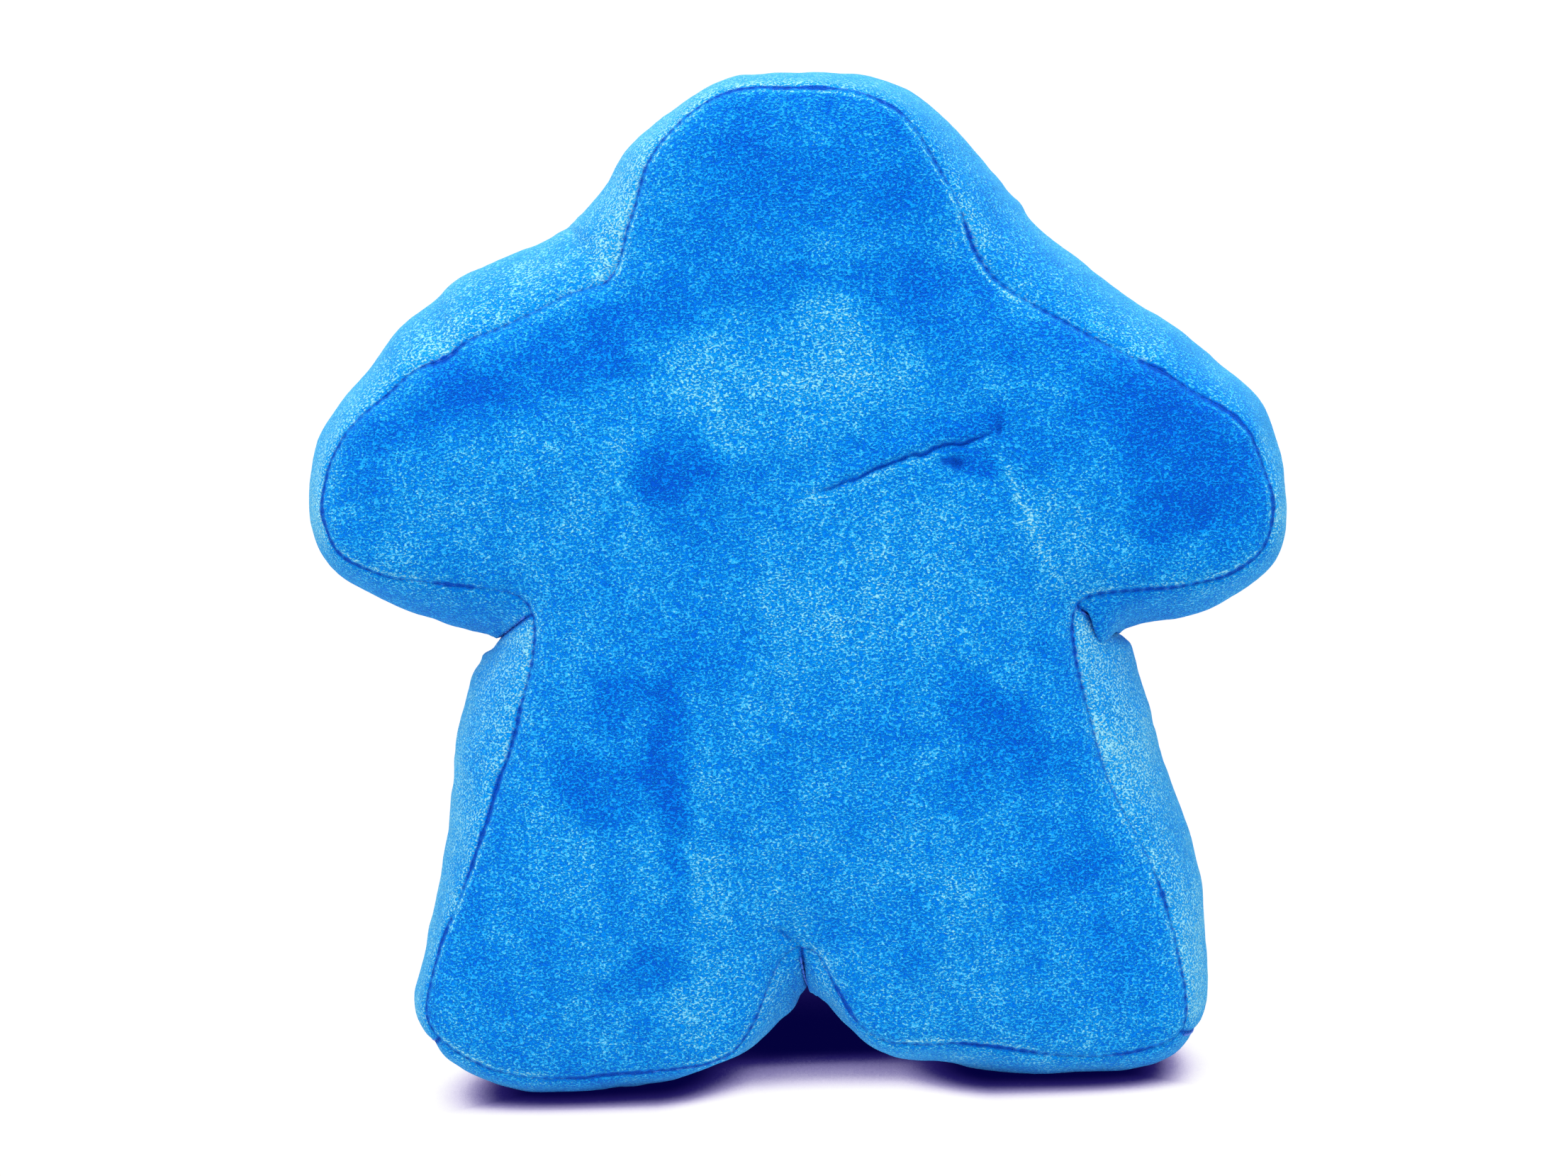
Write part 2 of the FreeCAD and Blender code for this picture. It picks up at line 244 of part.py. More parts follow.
# Fibre lumps.  Axis, then rows: position along it, low end, high end, half depth
# at the corners, bow of the front and back, bow of the low side, bow of the
# high side.  The ends lie in x for axis "z", and in z for axis "x".
WADS = {
    "torso_filling": ("z", [
        (51.0, -104.63, 96.37, 33.0, 7.0, 5.0, 6.0),
        (70.0, -96.13, 90.37, 34.5, 10.0, 8.0, 9.0),
        (95.0, -86.13, 80.37, 34.5, 11.5, 12.0, 12.0),
        (120.0, -77.63, 75.37, 34.5, 12.0, 13.0, 13.0),
        (142.0, -73.63, 72.37, 34.5, 12.0, 9.0, 9.0),
        (165.0, -71.63, 72.37, 34.5, 12.0, 3.0, 3.0),
        (195.0, -71.63, 72.37, 34.5, 12.0, 3.0, 3.0),
        (217.0, -65.63, 66.37, 34.0, 10.5, 3.0, 3.0),
        (233.0, -45.63, 48.37, 33.0, 8.5, 5.0, 5.0)]),
    "head_filling": ("z", [
        (234.5, -44.13, 47.37, 33.0, 8.0, 6.0, 6.0),
        (250.0, -40.13, 44.37, 33.5, 7.0, 9.0, 10.0),
        (262.0, -36.13, 39.87, 33.5, 6.0, 7.0, 9.0),
        (274.0, -29.63, 34.37, 32.0, 4.5, 5.0, 6.0),
        (283.0, -19.63, 24.37, 29.0, 2.5, 3.0, 4.0)]),
    "left_leg_filling": ("z", [
        (6.5, -87.63, -48.63, 10.0, 2.0, 2.0, 2.0),
        (13.0, -95.63, -40.63, 23.0, 3.0, 3.0, 3.0),
        (20.0, -101.63, -31.13, 31.0, 4.5, 4.0, 4.0),
        (34.0, -106.63, -22.13, 33.0, 5.5, 5.0, 4.0),
        (49.5, -104.63, -9.63, 33.0, 6.5, 5.0, 3.0)]),
    "right_leg_filling": ("z", [
        (6.5, 40.37, 82.37, 10.0, 2.0, 2.0, 2.0),
        (13.0, 34.37, 89.37, 22.0, 3.0, 3.0, 3.0),
        (20.0, 23.37, 95.87, 30.5, 4.5, 4.0, 4.0),
        (34.0, 11.37, 97.87, 33.0, 5.5, 4.0, 5.0),
        (49.5, 0.37, 96.87, 33.0, 6.5, 3.0, 5.0)]),
    "left_arm_filling": ("x", [
        (-130.63, 170.0, 186.0, 31.0, 1.5, 4.0, 4.0),
        (-122.63, 163.5, 196.0, 33.0, 3.0, 5.0, 6.0),
        (-109.63, 158.5, 205.5, 33.5, 4.5, 8.0, 9.0),
        (-93.63, 156.0, 213.0, 33.5, 6.0, 9.0, 12.0),
        (-79.13, 156.0, 220.0, 33.5, 7.0, 5.0, 12.0)]),
    "right_arm_filling": ("x", [
        (78.37, 150.0, 213.0, 33.5, 7.0, 5.0, 12.0),
        (92.37, 147.0, 206.0, 33.5, 6.0, 8.0, 11.0),
        (107.37, 147.5, 198.0, 33.5, 4.5, 7.0, 9.0),
        (120.37, 151.0, 188.0, 33.0, 3.0, 5.0, 6.0),
        (128.37, 158.0, 177.0, 31.0, 1.5, 4.0, 4.0)]),
}


# ------------------------------------------------------------- spreadsheet
def sheet_rows():
    """Every driving dimension: alias, value, note."""
    rows = list(MAIN_SIZES)

    def add_table(prefix, fields, table):
        for i, values in enumerate(table):
            for field, value in zip(fields, values):
                rows.append(("%s_%s_%d" % (prefix, field, i), value, ""))

    add_table("out", ("x", "z", "nx", "nz", "rad"), [row[:4] + (abs(row[4]),) for row in OUTLINE])
    for name, stations in GUSSET.items():
        add_table(name, ("x", "z", "dir", "bulge"), stations)
    for name, (_, sections) in WADS.items():
        add_table(name, ("at", "lo", "hi", "deep"), sections)
    return rows


sheet = doc.addObject("Spreadsheet::Sheet", "Sizes")
for number, (alias, value, note) in enumerate(sheet_rows(), 1):
    sheet.set("A%d" % number, alias)
    sheet.set("B%d" % number, repr(float(value)))
    sheet.setAlias("B%d" % number, alias)
    if note:
        sheet.set("C%d" % number, note)
doc.recompute()


def size(alias):
    return float(getattr(sheet, alias))


CLOTH = size("cloth")
SEAM_HALF = size("seam_half")
PANEL_RISE = size("panel_rise")
THREAD_RADIUS = size("thread_radius")
THREAD_Y = SEAM_HALF - size("thread_in")
GUSSET_HALF = SEAM_HALF - CLOTH - size("panel_gap")
GUSSET_HALF_EXPR = "(Sizes.seam_half - Sizes.cloth - Sizes.panel_gap)"

parts = {}  # label: finished piece


# ------------------------------------------------------------------ helpers
def add_object(kind, label):
    obj = doc.addObject(kind, label)
    obj.Label = label
    return obj


def new_body(label):
    return add_object("PartDesign::Body", label)


def new_sketch(body, name, role="XY_Plane"):
    sketch = body.newObject("Sketcher::SketchObject", name)
    plane = next(f for f in body.Origin.OriginFeatures if f.Role == role)
    sketch.AttachmentSupport = [(plane, "")]
    sketch.MapMode = "FlatFace"
    return sketch


def across_seam(x, y, z, angle):
    """Placement whose x axis points out of the seam at the angle, y along +Y."""
    return Placement(Vector(x, y, z), Rotation(Vector(0, 1, 0), -angle))


def station_sketch(body, name, row, i):
    """Sketch across the gusset at one station: x along the bulge, y along +Y."""
    x, z, angle, _ = GUSSET[row][i]
    sketch = new_sketch(body, name)
    sketch.AttachmentOffset = across_seam(x, 0, z, angle)
    sketch.setExpression(".AttachmentOffset.Base.x", "Sizes.%s_x_%d" % (row, i))
    sketch.setExpression(".AttachmentOffset.Base.z", "Sizes.%s_z_%d" % (row, i))
    sketch.setExpression(".AttachmentOffset.Rotation.Angle", "-Sizes.%s_dir_%d" % (row, i))
    return sketch


def arc_radius(chord, bow):
    return (chord * chord / 4.0 + bow * bow) / (2.0 * bow)


def arc_mid(p0, p1, radius, bend_left=True):
    """Middle point of the short arc p0 -> p1; bend_left: the arc bows to the
    left of the way from p0 to p1."""
    dx, dy = p1[0] - p0[0], p1[1] - p0[1]
    chord = math.hypot(dx, dy)
    sag = radius - math.sqrt(max(radius * radius - chord * chord / 4.0, 0.0))
    side = 1.0 if bend_left else -1.0
    return ((p0[0] + p1[0]) / 2.0 - side * sag * dy / chord,
            (p0[1] + p1[1]) / 2.0 + side * sag * dx / chord)


def arc_geometry(p0, pm, p1):
    """An arc through three points, and which of its ends (1 or 2) are p0 and p1."""
    (x0, y0), (xm, ym), (x1, y1) = p0, pm, p1
    det = 2.0 * (x0 * (ym - y1) + xm * (y1 - y0) + x1 * (y0 - ym))
    q0, qm, q1 = (x * x + y * y for x, y in (p0, pm, p1))
    cx = (q0 * (ym - y1) + qm * (y1 - y0) + q1 * (y0 - ym)) / det
    cy = (q0 * (x1 - xm) + qm * (x0 - x1) + q1 * (xm - x0)) / det
    radius = math.hypot(x0 - cx, y0 - cy)
    start, middle, end = (math.atan2(y - cy, x - cx) for x, y in (p0, pm, p1))
    turn = 2.0 * math.pi
    counterclockwise = ((middle - start) % turn) < ((end - start) % turn)
    if not counterclockwise:
        start, end = end, start
    while end < start:
        end += turn
    arc = Part.ArcOfCircle(Part.Circle(Vector(cx, cy, 0), Vector(0, 0, 1), radius), start, end)
    return (arc, 1, 2) if counterclockwise else (arc, 2, 1)


class Drawing:
    """Collects geometry and constraints of one sketch and adds them in one
    go, so that the sketch is solved once."""

    def __init__(self, sketch):
        self.sketch = sketch
        self.geometry = []
        self.constraints = []
        self.expressions = []

    def add_geometry(self, item):
        self.geometry.append(item)
        return len(self.geometry) - 1

    def arc(self, p0, pm, p1):
        """Returns the arc's index and which of its ends are p0 and p1."""
        arc, start, end = arc_geometry(p0, pm, p1)
        return self.add_geometry(arc), start, end

    def line(self, p0, p1):
        return self.add_geometry(Part.LineSegment(Vector(*p0, 0), Vector(*p1, 0)))

    def circle(self, radius):
        return self.add_geometry(Part.Circle(Vector(0, 0, 0), Vector(0, 0, 1), radius))

    def add(self, *args, expr=None):
        if expr:
            self.expressions.append((len(self.constraints), expr))
        self.constraints.append(Sketcher.Constraint(*args))

    def pin(self, edge, end, point, expr_x=None, expr_y=None):
        """Ties one end to the sketch origin by two driven distances."""
        self.add("DistanceX", -1, 1, edge, end, point[0], expr=expr_x)
        self.add("DistanceY", -1, 1, edge, end, point[1], expr=expr_y)

    def finish(self):
        self.sketch.addGeometry(self.geometry, False)
        self.sketch.addConstraint(self.constraints)
        for i, expr in self.expressions:
            self.sketch.setExpression("Constraints[%d]" % i, expr)
        return self.sketch


def outline_sketch(sketch, offset, first=0, count=None):
    """Draws the seam outline, moved outward by the offset, in a sketch lying in
    the XZ plane.  Only `count` arcs starting with arc `first` if given."""
    closed = count is None
    if closed:
        count = len(OUTLINE)
    nodes = [OUTLINE[(first + k) % len(OUTLINE)] for k in range(count + 1)]
    points = [(x + offset * nx, z + offset * nz) for x, z, nx, nz, _ in nodes]
    draw = Drawing(sketch)
    arcs = []
    for k in range(count):
        # clockwise chain: a convex arc bows to the left of its way
        convex = nodes[k][4] < 0
        radius = abs(nodes[k][4]) + (offset if convex else -offset)
        p0, p1 = points[k], points[k + 1]
        arcs.append(draw.arc(p0, arc_mid(p0, p1, radius, convex), p1) + (radius,))
    for k, (edge, start, end, radius) in enumerate(arcs):
        if closed or k < count - 1:
            following = arcs[(k + 1) % count]
            draw.add("Coincident", edge, end, following[0], following[1])
        draw.pin(edge, start, points[k])
        draw.add("Radius", edge, radius)
    if not closed:
        draw.pin(arcs[-1][0], arcs[-1][2], points[-1])
    draw.finish()


def add_loft(body, label, sections, ruled=False):
    loft = body.newObject("PartDesign::AdditiveLoft", label + "_loft")
    loft.Profile = sections[0]
    loft.Sections = sections[1:]
    loft.Ruled = ruled


def common(label, base, tool):
    piece = add_object("Part::Common", label)
    piece.Base = base
    piece.Tool = tool
    parts[label] = piece


# -------------------------------------------------- panels (front and back)
PANEL_PAD = 60.0  # from the middle plane to beyond the top of the dome


def pole_places(knots):
    """Evenly mapped pole positions of a clamped cubic: means of three knots."""
    full = [knots[0]] * 3 + knots + [knots[-1]] * 3
    return [round(sum(full[i + 1:i + 4]) / 3.0, 3) for i in range(len(knots) + 2)]


def dome_face(sign):
    """One smooth graph surface y = sign * (seam_half + rise * share)."""
    poles = [[Vector(x, sign * (SEAM_HALF + PANEL_RISE * share), z)
              for z, share in zip(pole_places(DOME_KNOTS_Z), shares)]
             for x, shares in zip(pole_places(DOME_KNOTS_X), DOME)]
    mults_x, mults_z = ([4] + [1] * (len(knots) - 2) + [4]
                        for knots in (DOME_KNOTS_X, DOME_KNOTS_Z))
    surface = Part.BSplineSurface()
    surface.buildFromPolesMultsKnots(
        poles, mults_x, mults_z, DOME_KNOTS_X, DOME_KNOTS_Z, False, False, 3, 3)
    return surface.toShape()


def panel(label, sign):
    """Pad of the seam outline, cut to a pillow-shaped sheet of cloth."""
    body = new_body(label + "_outline")
    sketch = new_sketch(body, label + "_sketch", "XZ_Plane")
    outline_sketch(sketch, 0.0)
    pad = body.newObject("PartDesign::Pad", label + "_pad")
    pad.Profile = sketch
    pad.Length = PANEL_PAD
    # the sketch looks along -Y: the front needs the plain way, the back the other
    pad.Reversed = sign > 0
    slab = add_object("Part::Feature", label + "_slab")
    slab.Shape = dome_face(sign).extrude(Vector(0, -sign * CLOTH, 0))
    common(label, body, slab)


panel("front_panel", -1.0)
panel("back_panel", 1.0)


# --------------------------------------------------------- gusset (boxing)
def gusset_section(body, name, row, i):
    """Crescent: outer arc through the seams and the crest, inner arc one cloth
    further in, closed by a short line at each seam."""
    bulge = GUSSET[row][i][3]
    half = GUSSET_HALF
    draw = Drawing(station_sketch(body, name, row, i))
    outer = draw.arc((0.0, -half), (bulge, 0.0), (0.0, half))
    inner = draw.arc((-CLOTH, -half), (bulge - CLOTH, 0.0), (-CLOTH, half))
    front = draw.line((-CLOTH, -half), (0.0, -half))
    back = draw.line((0.0, half), (-CLOTH, half))
    draw.add("Coincident", front, 1, inner[0], inner[1])
    draw.add("Coincident", front, 2, outer[0], outer[1])
    draw.add("Coincident", back, 1, outer[0], outer[2])
    draw.add("Coincident", back, 2, inner[0], inner[2])
    edge_ends = ((1, -half, "-" + GUSSET_HALF_EXPR), (2, half, GUSSET_HALF_EXPR))
    for which, y, expr_y in edge_ends:
        draw.add("PointOnObject", outer[0], outer[which], -2)
        draw.add("DistanceY", -1, 1, outer[0], outer[which], y, expr=expr_y)
    for which, y, expr_y in edge_ends:
        draw.pin(inner[0], inner[which], (-CLOTH, y), "-Sizes.cloth", expr_y)
    bulge_expr = "Sizes.%s_bulge_%d" % (row, i)
    radius_expr = "(%s^2 + %s^2) / (2 * %s)" % (GUSSET_HALF_EXPR, bulge_expr, bulge_expr)
    radius = arc_radius(2.0 * half, bulge)
    draw.add("Radius", outer[0], radius, expr=radius_expr)
    draw.add("Radius", inner[0], radius, expr=radius_expr)
    return draw.finish()


def gusset(row, flat=False):
    label = "gusset_" + row
    body = new_body(label + ("_strip" if flat else ""))
    sections = [gusset_section(body, "%s_s%d" % (label, i), row, i)
                for i in range(len(GUSSET[row]))]
    if flat:
        sections.reverse()
    add_loft(body, label, sections, ruled=True)
    if not flat:
        parts[label] = body
        return
    # the sole is pressed flat where the toy stands on it
    box = doc.addObject("Part::Box", label + "_above_floor")
    box.Length, box.Width, box.Height = 400.0, 200.0, 330.0
    box.Placement = Placement(Vector(-200, -100, 0), Rotation())
    common(label, body, box)


gusset("top")
gusset("right_side")
gusset("left_side")
gusset("right_foot", flat=True)
gusset("left_foot", flat=True)


# --------------------------------------------------------- sewing threads
CORD_SIDES = 8
CROSS_LIFT = 0.25  # clearance between a cross thread and the cloth
CROSS_SHORT = 3.0  # degrees a cross thread stops before each gusset edge


def seam_thread(label, sign, first, count, radius_alias="thread_radius", out_alias="thread_out"):
    """Thread along `count` arcs of a panel seam; sign -1 front, +1 back."""
    body = new_body(label)
    radius, out = size(radius_alias), size(out_alias)
    spine = new_sketch(body, label + "_spine", "XZ_Plane")
    # XZ plane normal points to -Y
    spine.AttachmentOffset = Placement(Vector(0, 0, -sign * THREAD_Y), Rotation())
    spine.setExpression(".AttachmentOffset.Base.z", "%s(Sizes.seam_half - Sizes.thread_in)"
                        % ("-" if sign > 0 else ""))
    outline_sketch(spine, out, first, count)

    x, z, nx, nz, _ = OUTLINE[first]
    section = new_sketch(body, label + "_section")
    section.AttachmentOffset = across_seam(x + out * nx, sign * THREAD_Y, z + out * nz,
                                           math.degrees(math.atan2(nz, nx)))
    for axis in "xz":
        section.setExpression(".AttachmentOffset.Base." + axis,
                              "Sizes.out_%s_%d + Sizes.%s * Sizes.out_n%s_%d"
                              % (axis, first, out_alias, axis, first))
    # eight sides, as a laid cord has
    draw = Drawing(section)
    angles = [math.radians((k + 0.5) * 360.0 / CORD_SIDES) for k in range(CORD_SIDES)]
    turns = [(math.cos(angle), math.sin(angle)) for angle in angles]
    corners = [(radius * c, radius * s) for c, s in turns]
    sides = [draw.line(corners[k], corners[(k + 1) % CORD_SIDES]) for k in range(CORD_SIDES)]
    for k in range(CORD_SIDES):
        draw.add("Coincident", sides[k], 2, sides[(k + 1) % CORD_SIDES], 1)
        draw.pin(sides[k], 1, corners[k],
                 *("Sizes.%s * %.9f" % (radius_alias, share) for share in turns[k]))
    draw.finish()

    pipe = body.newObject("PartDesign::AdditivePipe", label + "_pipe")
    pipe.Profile = section
    pipe.Spine = (spine, ["Edge%d" % (k + 1) for k in range(count)])
    pipe.Mode = "Binormal"
    pipe.Binormal = Vector(0, 1, 0)
    parts[label] = body


def cross_thread(label, row):
    """Thread of the seam that joins two lengths of gusset, over the crest at
    the first station of the row."""
    x, z, angle, bulge = GUSSET[row][0]
    body = new_body(label)
    gusset_radius = arc_radius(2.0 * GUSSET_HALF, bulge)
    radius = gusset_radius + THREAD_RADIUS + CROSS_LIFT
    centre = bulge - gusset_radius
    half_angle = math.asin(GUSSET_HALF / gusset_radius) - math.radians(CROSS_SHORT)
    end_x = centre + radius * math.cos(half_angle)
    end_y = radius * math.sin(half_angle)
    p0, p1 = (end_x, -end_y), (end_x, end_y)
    path = station_sketch(body, label + "_path", row, 0)
    draw = Drawing(path)
    edge, start, end = draw.arc(p0, (centre + radius, 0.0), p1)
    draw.pin(edge, start, p0)
    draw.pin(edge, end, p1)
    draw.add("Radius", edge, radius)
    draw.finish()

    # round section, square to the path at its start
    section = new_sketch(body, label + "_section")
    base = across_seam(x, 0, z, angle)
    tangent = base.Rotation.multVec(Vector(math.sin(half_angle), math.cos(half_angle), 0))
    section.AttachmentOffset = Placement(base.multVec(Vector(*p0, 0)),
                                         Rotation(Vector(0, 0, 1), tangent))
    draw = Drawing(section)
    circle = draw.circle(THREAD_RADIUS)
    draw.add("Coincident", circle, 3, -1, 1)
    draw.add("Radius", circle, THREAD_RADIUS, expr="Sizes.thread_radius")
    draw.finish()

    pipe = body.newObject("PartDesign::AdditivePipe", label + "_pipe")
    pipe.Profile = section
    pipe.Spine = (path, ["Edge1"])
    parts[label] = body


ARCS = len(OUTLINE)
GAP_FIRST, GAP_COUNT = 11, 3  # outline arcs the machine sewn back seam leaves open
# the front line leaves out arc 0, at the crotch
seam_thread("front_seam_thread", -1.0, 1, ARCS - 1)
seam_thread("back_seam_thread", 1.0, GAP_FIRST + GAP_COUNT, ARCS - GAP_COUNT)
# the hand sewn line takes the gap less one arc at each end
seam_thread("closing_seam_thread", 1.0, GAP_FIRST + 1, GAP_COUNT - 2, "hand_radius", "hand_out")

cross_thread("left_armpit_thread", "top")
cross_thread("right_armpit_thread", "right_side")
cross_thread("right_foot_thread", "right_foot")
cross_thread("crotch_thread", "left_foot")
cross_thread("left_foot_thread", "left_side")


# ------------------------------------------------------------ fibre filling
def wad_section(body, label, axis, k, row):
    """Oval of four arcs, square to the axis."""
    position, low, high, deep, bow, bow_low, bow_high = row
    sketch = new_sketch(body, "%s_s%d" % (label, k), "XY_Plane" if axis == "z" else "YZ_Plane")
    sketch.AttachmentOffset = Placement(Vector(0, 0, position), Rotation())
    sketch.setExpression(".AttachmentOffset.Base.z", "Sizes.%s_at_%d" % (label, k))
    low_expr, high_expr, deep_expr = ("Sizes.%s_%s_%d" % (label, field, k)
                                      for field in ("lo", "hi", "deep"))
    # each corner as (end, depth), clockwise
    corners = [(low, -deep), (low, deep), (high, deep), (high, -deep)]
    exprs = [(low_expr, "-" + deep_expr), (low_expr, deep_expr),
             (high_expr, deep_expr), (high_expr, "-" + deep_expr)]
    if axis == "x":
        # sketch x is Y, sketch y is Z; the back comes first to stay clockwise
        corners = [(corners[q][1], corners[q][0]) for q in (1, 0, 3, 2)]
        exprs = [(exprs[q][1], exprs[q][0]) for q in (1, 0, 3, 2)]
    face_radius = arc_radius(high - low, bow)
    radii = [arc_radius(2 * deep, bow_low), face_radius,
             arc_radius(2 * deep, bow_high), face_radius]
    draw = Drawing(sketch)
    arcs = []
    for q in range(4):
        p0, p1 = corners[q], corners[(q + 1) % 4]
        arcs.append(draw.arc(p0, arc_mid(p0, p1, radii[q]), p1))
    for q, (edge, start, end) in enumerate(arcs):
        following = arcs[(q + 1) % 4]
        draw.add("Coincident", edge, end, following[0], following[1])
        draw.pin(edge, start, corners[q], *exprs[q])
        draw.add("Radius", edge, radii[q])
    return draw.finish()


def wad(label, axis, rows):
    """Lump of fibre lofted through oval sections."""
    body = new_body(label)
    add_loft(body, label, [wad_section(body, label, axis, k, row) for k, row in enumerate(rows)])
    parts[label] = body


for wad_label, (wad_axis, wad_rows) in WADS.items():
    wad(wad_label, wad_axis, wad_rows)


# --------------------------------------------------------------- care label
# A blank woven label caught in the back seam near the left foot.  Its root
# stays in the seam; its free leaf folds about the line where it leaves it.
LABEL_X, LABEL_Z = -111.613, 40.016  # on the seam outline
LABEL_ANGLE = math.radians(165.042)  # outward normal of the seam there
TAB_GAP = 0.35  # between the thread and the root
FOLD_GAP = 0.3  # between the end of the root and the fold line
FLAP_GAP = 0.5  # between the fold line and the free leaf


def label_leaf(name, start, direction, long_alias):
    """Flat leaf from start along the direction, its width along the seam."""
    body = new_body(name)
    thick, length = size("label_thick"), size(long_alias)
    sketch = new_sketch(body, name + "_sketch")
    draw = Drawing(sketch)
    corners = [(0, -thick / 2), (length, -thick / 2), (length, thick / 2), (0, thick / 2)]
    bottom, end, top, root = sides = [draw.line(corners[q], corners[(q + 1) % 4])
                                      for q in range(4)]
    for q in range(4):
        draw.add("Coincident", sides[q], 2, sides[(q + 1) % 4], 1)
    draw.add("Horizontal", bottom)
    draw.add("Horizontal", top)
    draw.add("Vertical", end)
    draw.add("Vertical", root)
    draw.add("DistanceX", bottom, 1, bottom, 2, length, expr="Sizes." + long_alias)
    draw.add("DistanceY", end, 1, end, 2, thick, expr="Sizes.label_thick")
    draw.add("PointOnObject", root, 2, -2)
    draw.add("DistanceY", -1, 1, bottom, 1, -thick / 2, expr="-Sizes.label_thick / 2")
    draw.finish()
    pad = body.newObject("PartDesign::Pad", name + "_pad")
    pad.Profile = sketch
    pad.Length = size("label_wide")
    pad.setExpression("Length", "Sizes.label_wide")
    pad.Midplane = True
    # columns of the matrix: along the leaf, through its thickness, along the seam
    across = along_seam.cross(direction)
    turn = Rotation(FreeCAD.Matrix(
        direction.x, across.x, along_seam.x, 0,
        direction.y, across.y, along_seam.y, 0,
        direction.z, across.z, along_seam.z, 0,
        0, 0, 0, 1))
    body.Placement = Placement(start, turn)
    parts[name] = body


outward = Vector(math.cos(LABEL_ANGLE), 0, math.sin(LABEL_ANGLE))
along_seam = Vector(-math.sin(LABEL_ANGLE), 0, math.cos(LABEL_ANGLE))
# the root runs outward and back, the leaf folds over inward and back
tab_way = (outward * 0.6 + Vector(0, 0.8, 0)).normalize()
flap_way = (outward * -0.866 + Vector(0, 0.5, 0)).normalize()

tab_start = (Vector(LABEL_X, THREAD_Y, LABEL_Z) + outward * size("thread_out")
             + tab_way * (THREAD_RADIUS + TAB_GAP))
fold = tab_start + tab_way * (size("tab_long") + FOLD_GAP)
label_leaf("care_label_tab", tab_start, tab_way, "tab_long")
label_leaf("care_label_flap", fold + flap_way * FLAP_GAP, flap_way, "flap_long")

# ----------------------------------------------------------------- exports
doc.recompute()
faults = [obj.Name for obj in doc.Objects if "Invalid" in obj.State or "Error" in obj.State]
faults += [label for label, piece in parts.items()
           if piece.Shape.isNull() or not piece.Shape.isValid() or not piece.Shape.Solids]
if faults:
    raise RuntimeError("bad objects: " + ", ".join(faults))

os.makedirs("parts", exist_ok=True)
for label, piece in parts.items():
    piece.Shape.exportStep("parts/%s.step" % label)
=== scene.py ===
import bpy
import bmesh
import json
import math
import numpy as np
from mathutils import Vector, Matrix
from mathutils.geometry import delaunay_2d_cdt


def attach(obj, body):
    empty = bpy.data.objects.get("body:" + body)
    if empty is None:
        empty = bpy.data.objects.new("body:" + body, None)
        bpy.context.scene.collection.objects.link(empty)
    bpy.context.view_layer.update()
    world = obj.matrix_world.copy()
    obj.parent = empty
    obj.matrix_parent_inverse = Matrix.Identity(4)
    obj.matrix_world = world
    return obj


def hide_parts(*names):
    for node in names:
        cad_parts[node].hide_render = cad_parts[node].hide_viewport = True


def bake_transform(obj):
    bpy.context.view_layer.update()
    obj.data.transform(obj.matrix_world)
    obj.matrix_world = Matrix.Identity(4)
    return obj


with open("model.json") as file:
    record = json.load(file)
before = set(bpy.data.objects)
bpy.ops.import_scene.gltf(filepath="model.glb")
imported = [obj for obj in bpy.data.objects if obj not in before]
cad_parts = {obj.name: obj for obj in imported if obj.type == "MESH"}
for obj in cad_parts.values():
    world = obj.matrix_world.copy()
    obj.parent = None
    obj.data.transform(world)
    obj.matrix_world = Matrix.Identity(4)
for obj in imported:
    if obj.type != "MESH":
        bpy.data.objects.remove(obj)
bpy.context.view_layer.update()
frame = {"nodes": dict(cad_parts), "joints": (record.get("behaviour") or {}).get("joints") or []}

# A stuffed velour figure: front and back panels, five lengths of bulging
# boxing strip between them, stitched seams, fibre inside and a care label.
# Everything below is in millimetres in tables and in metres in the scene.

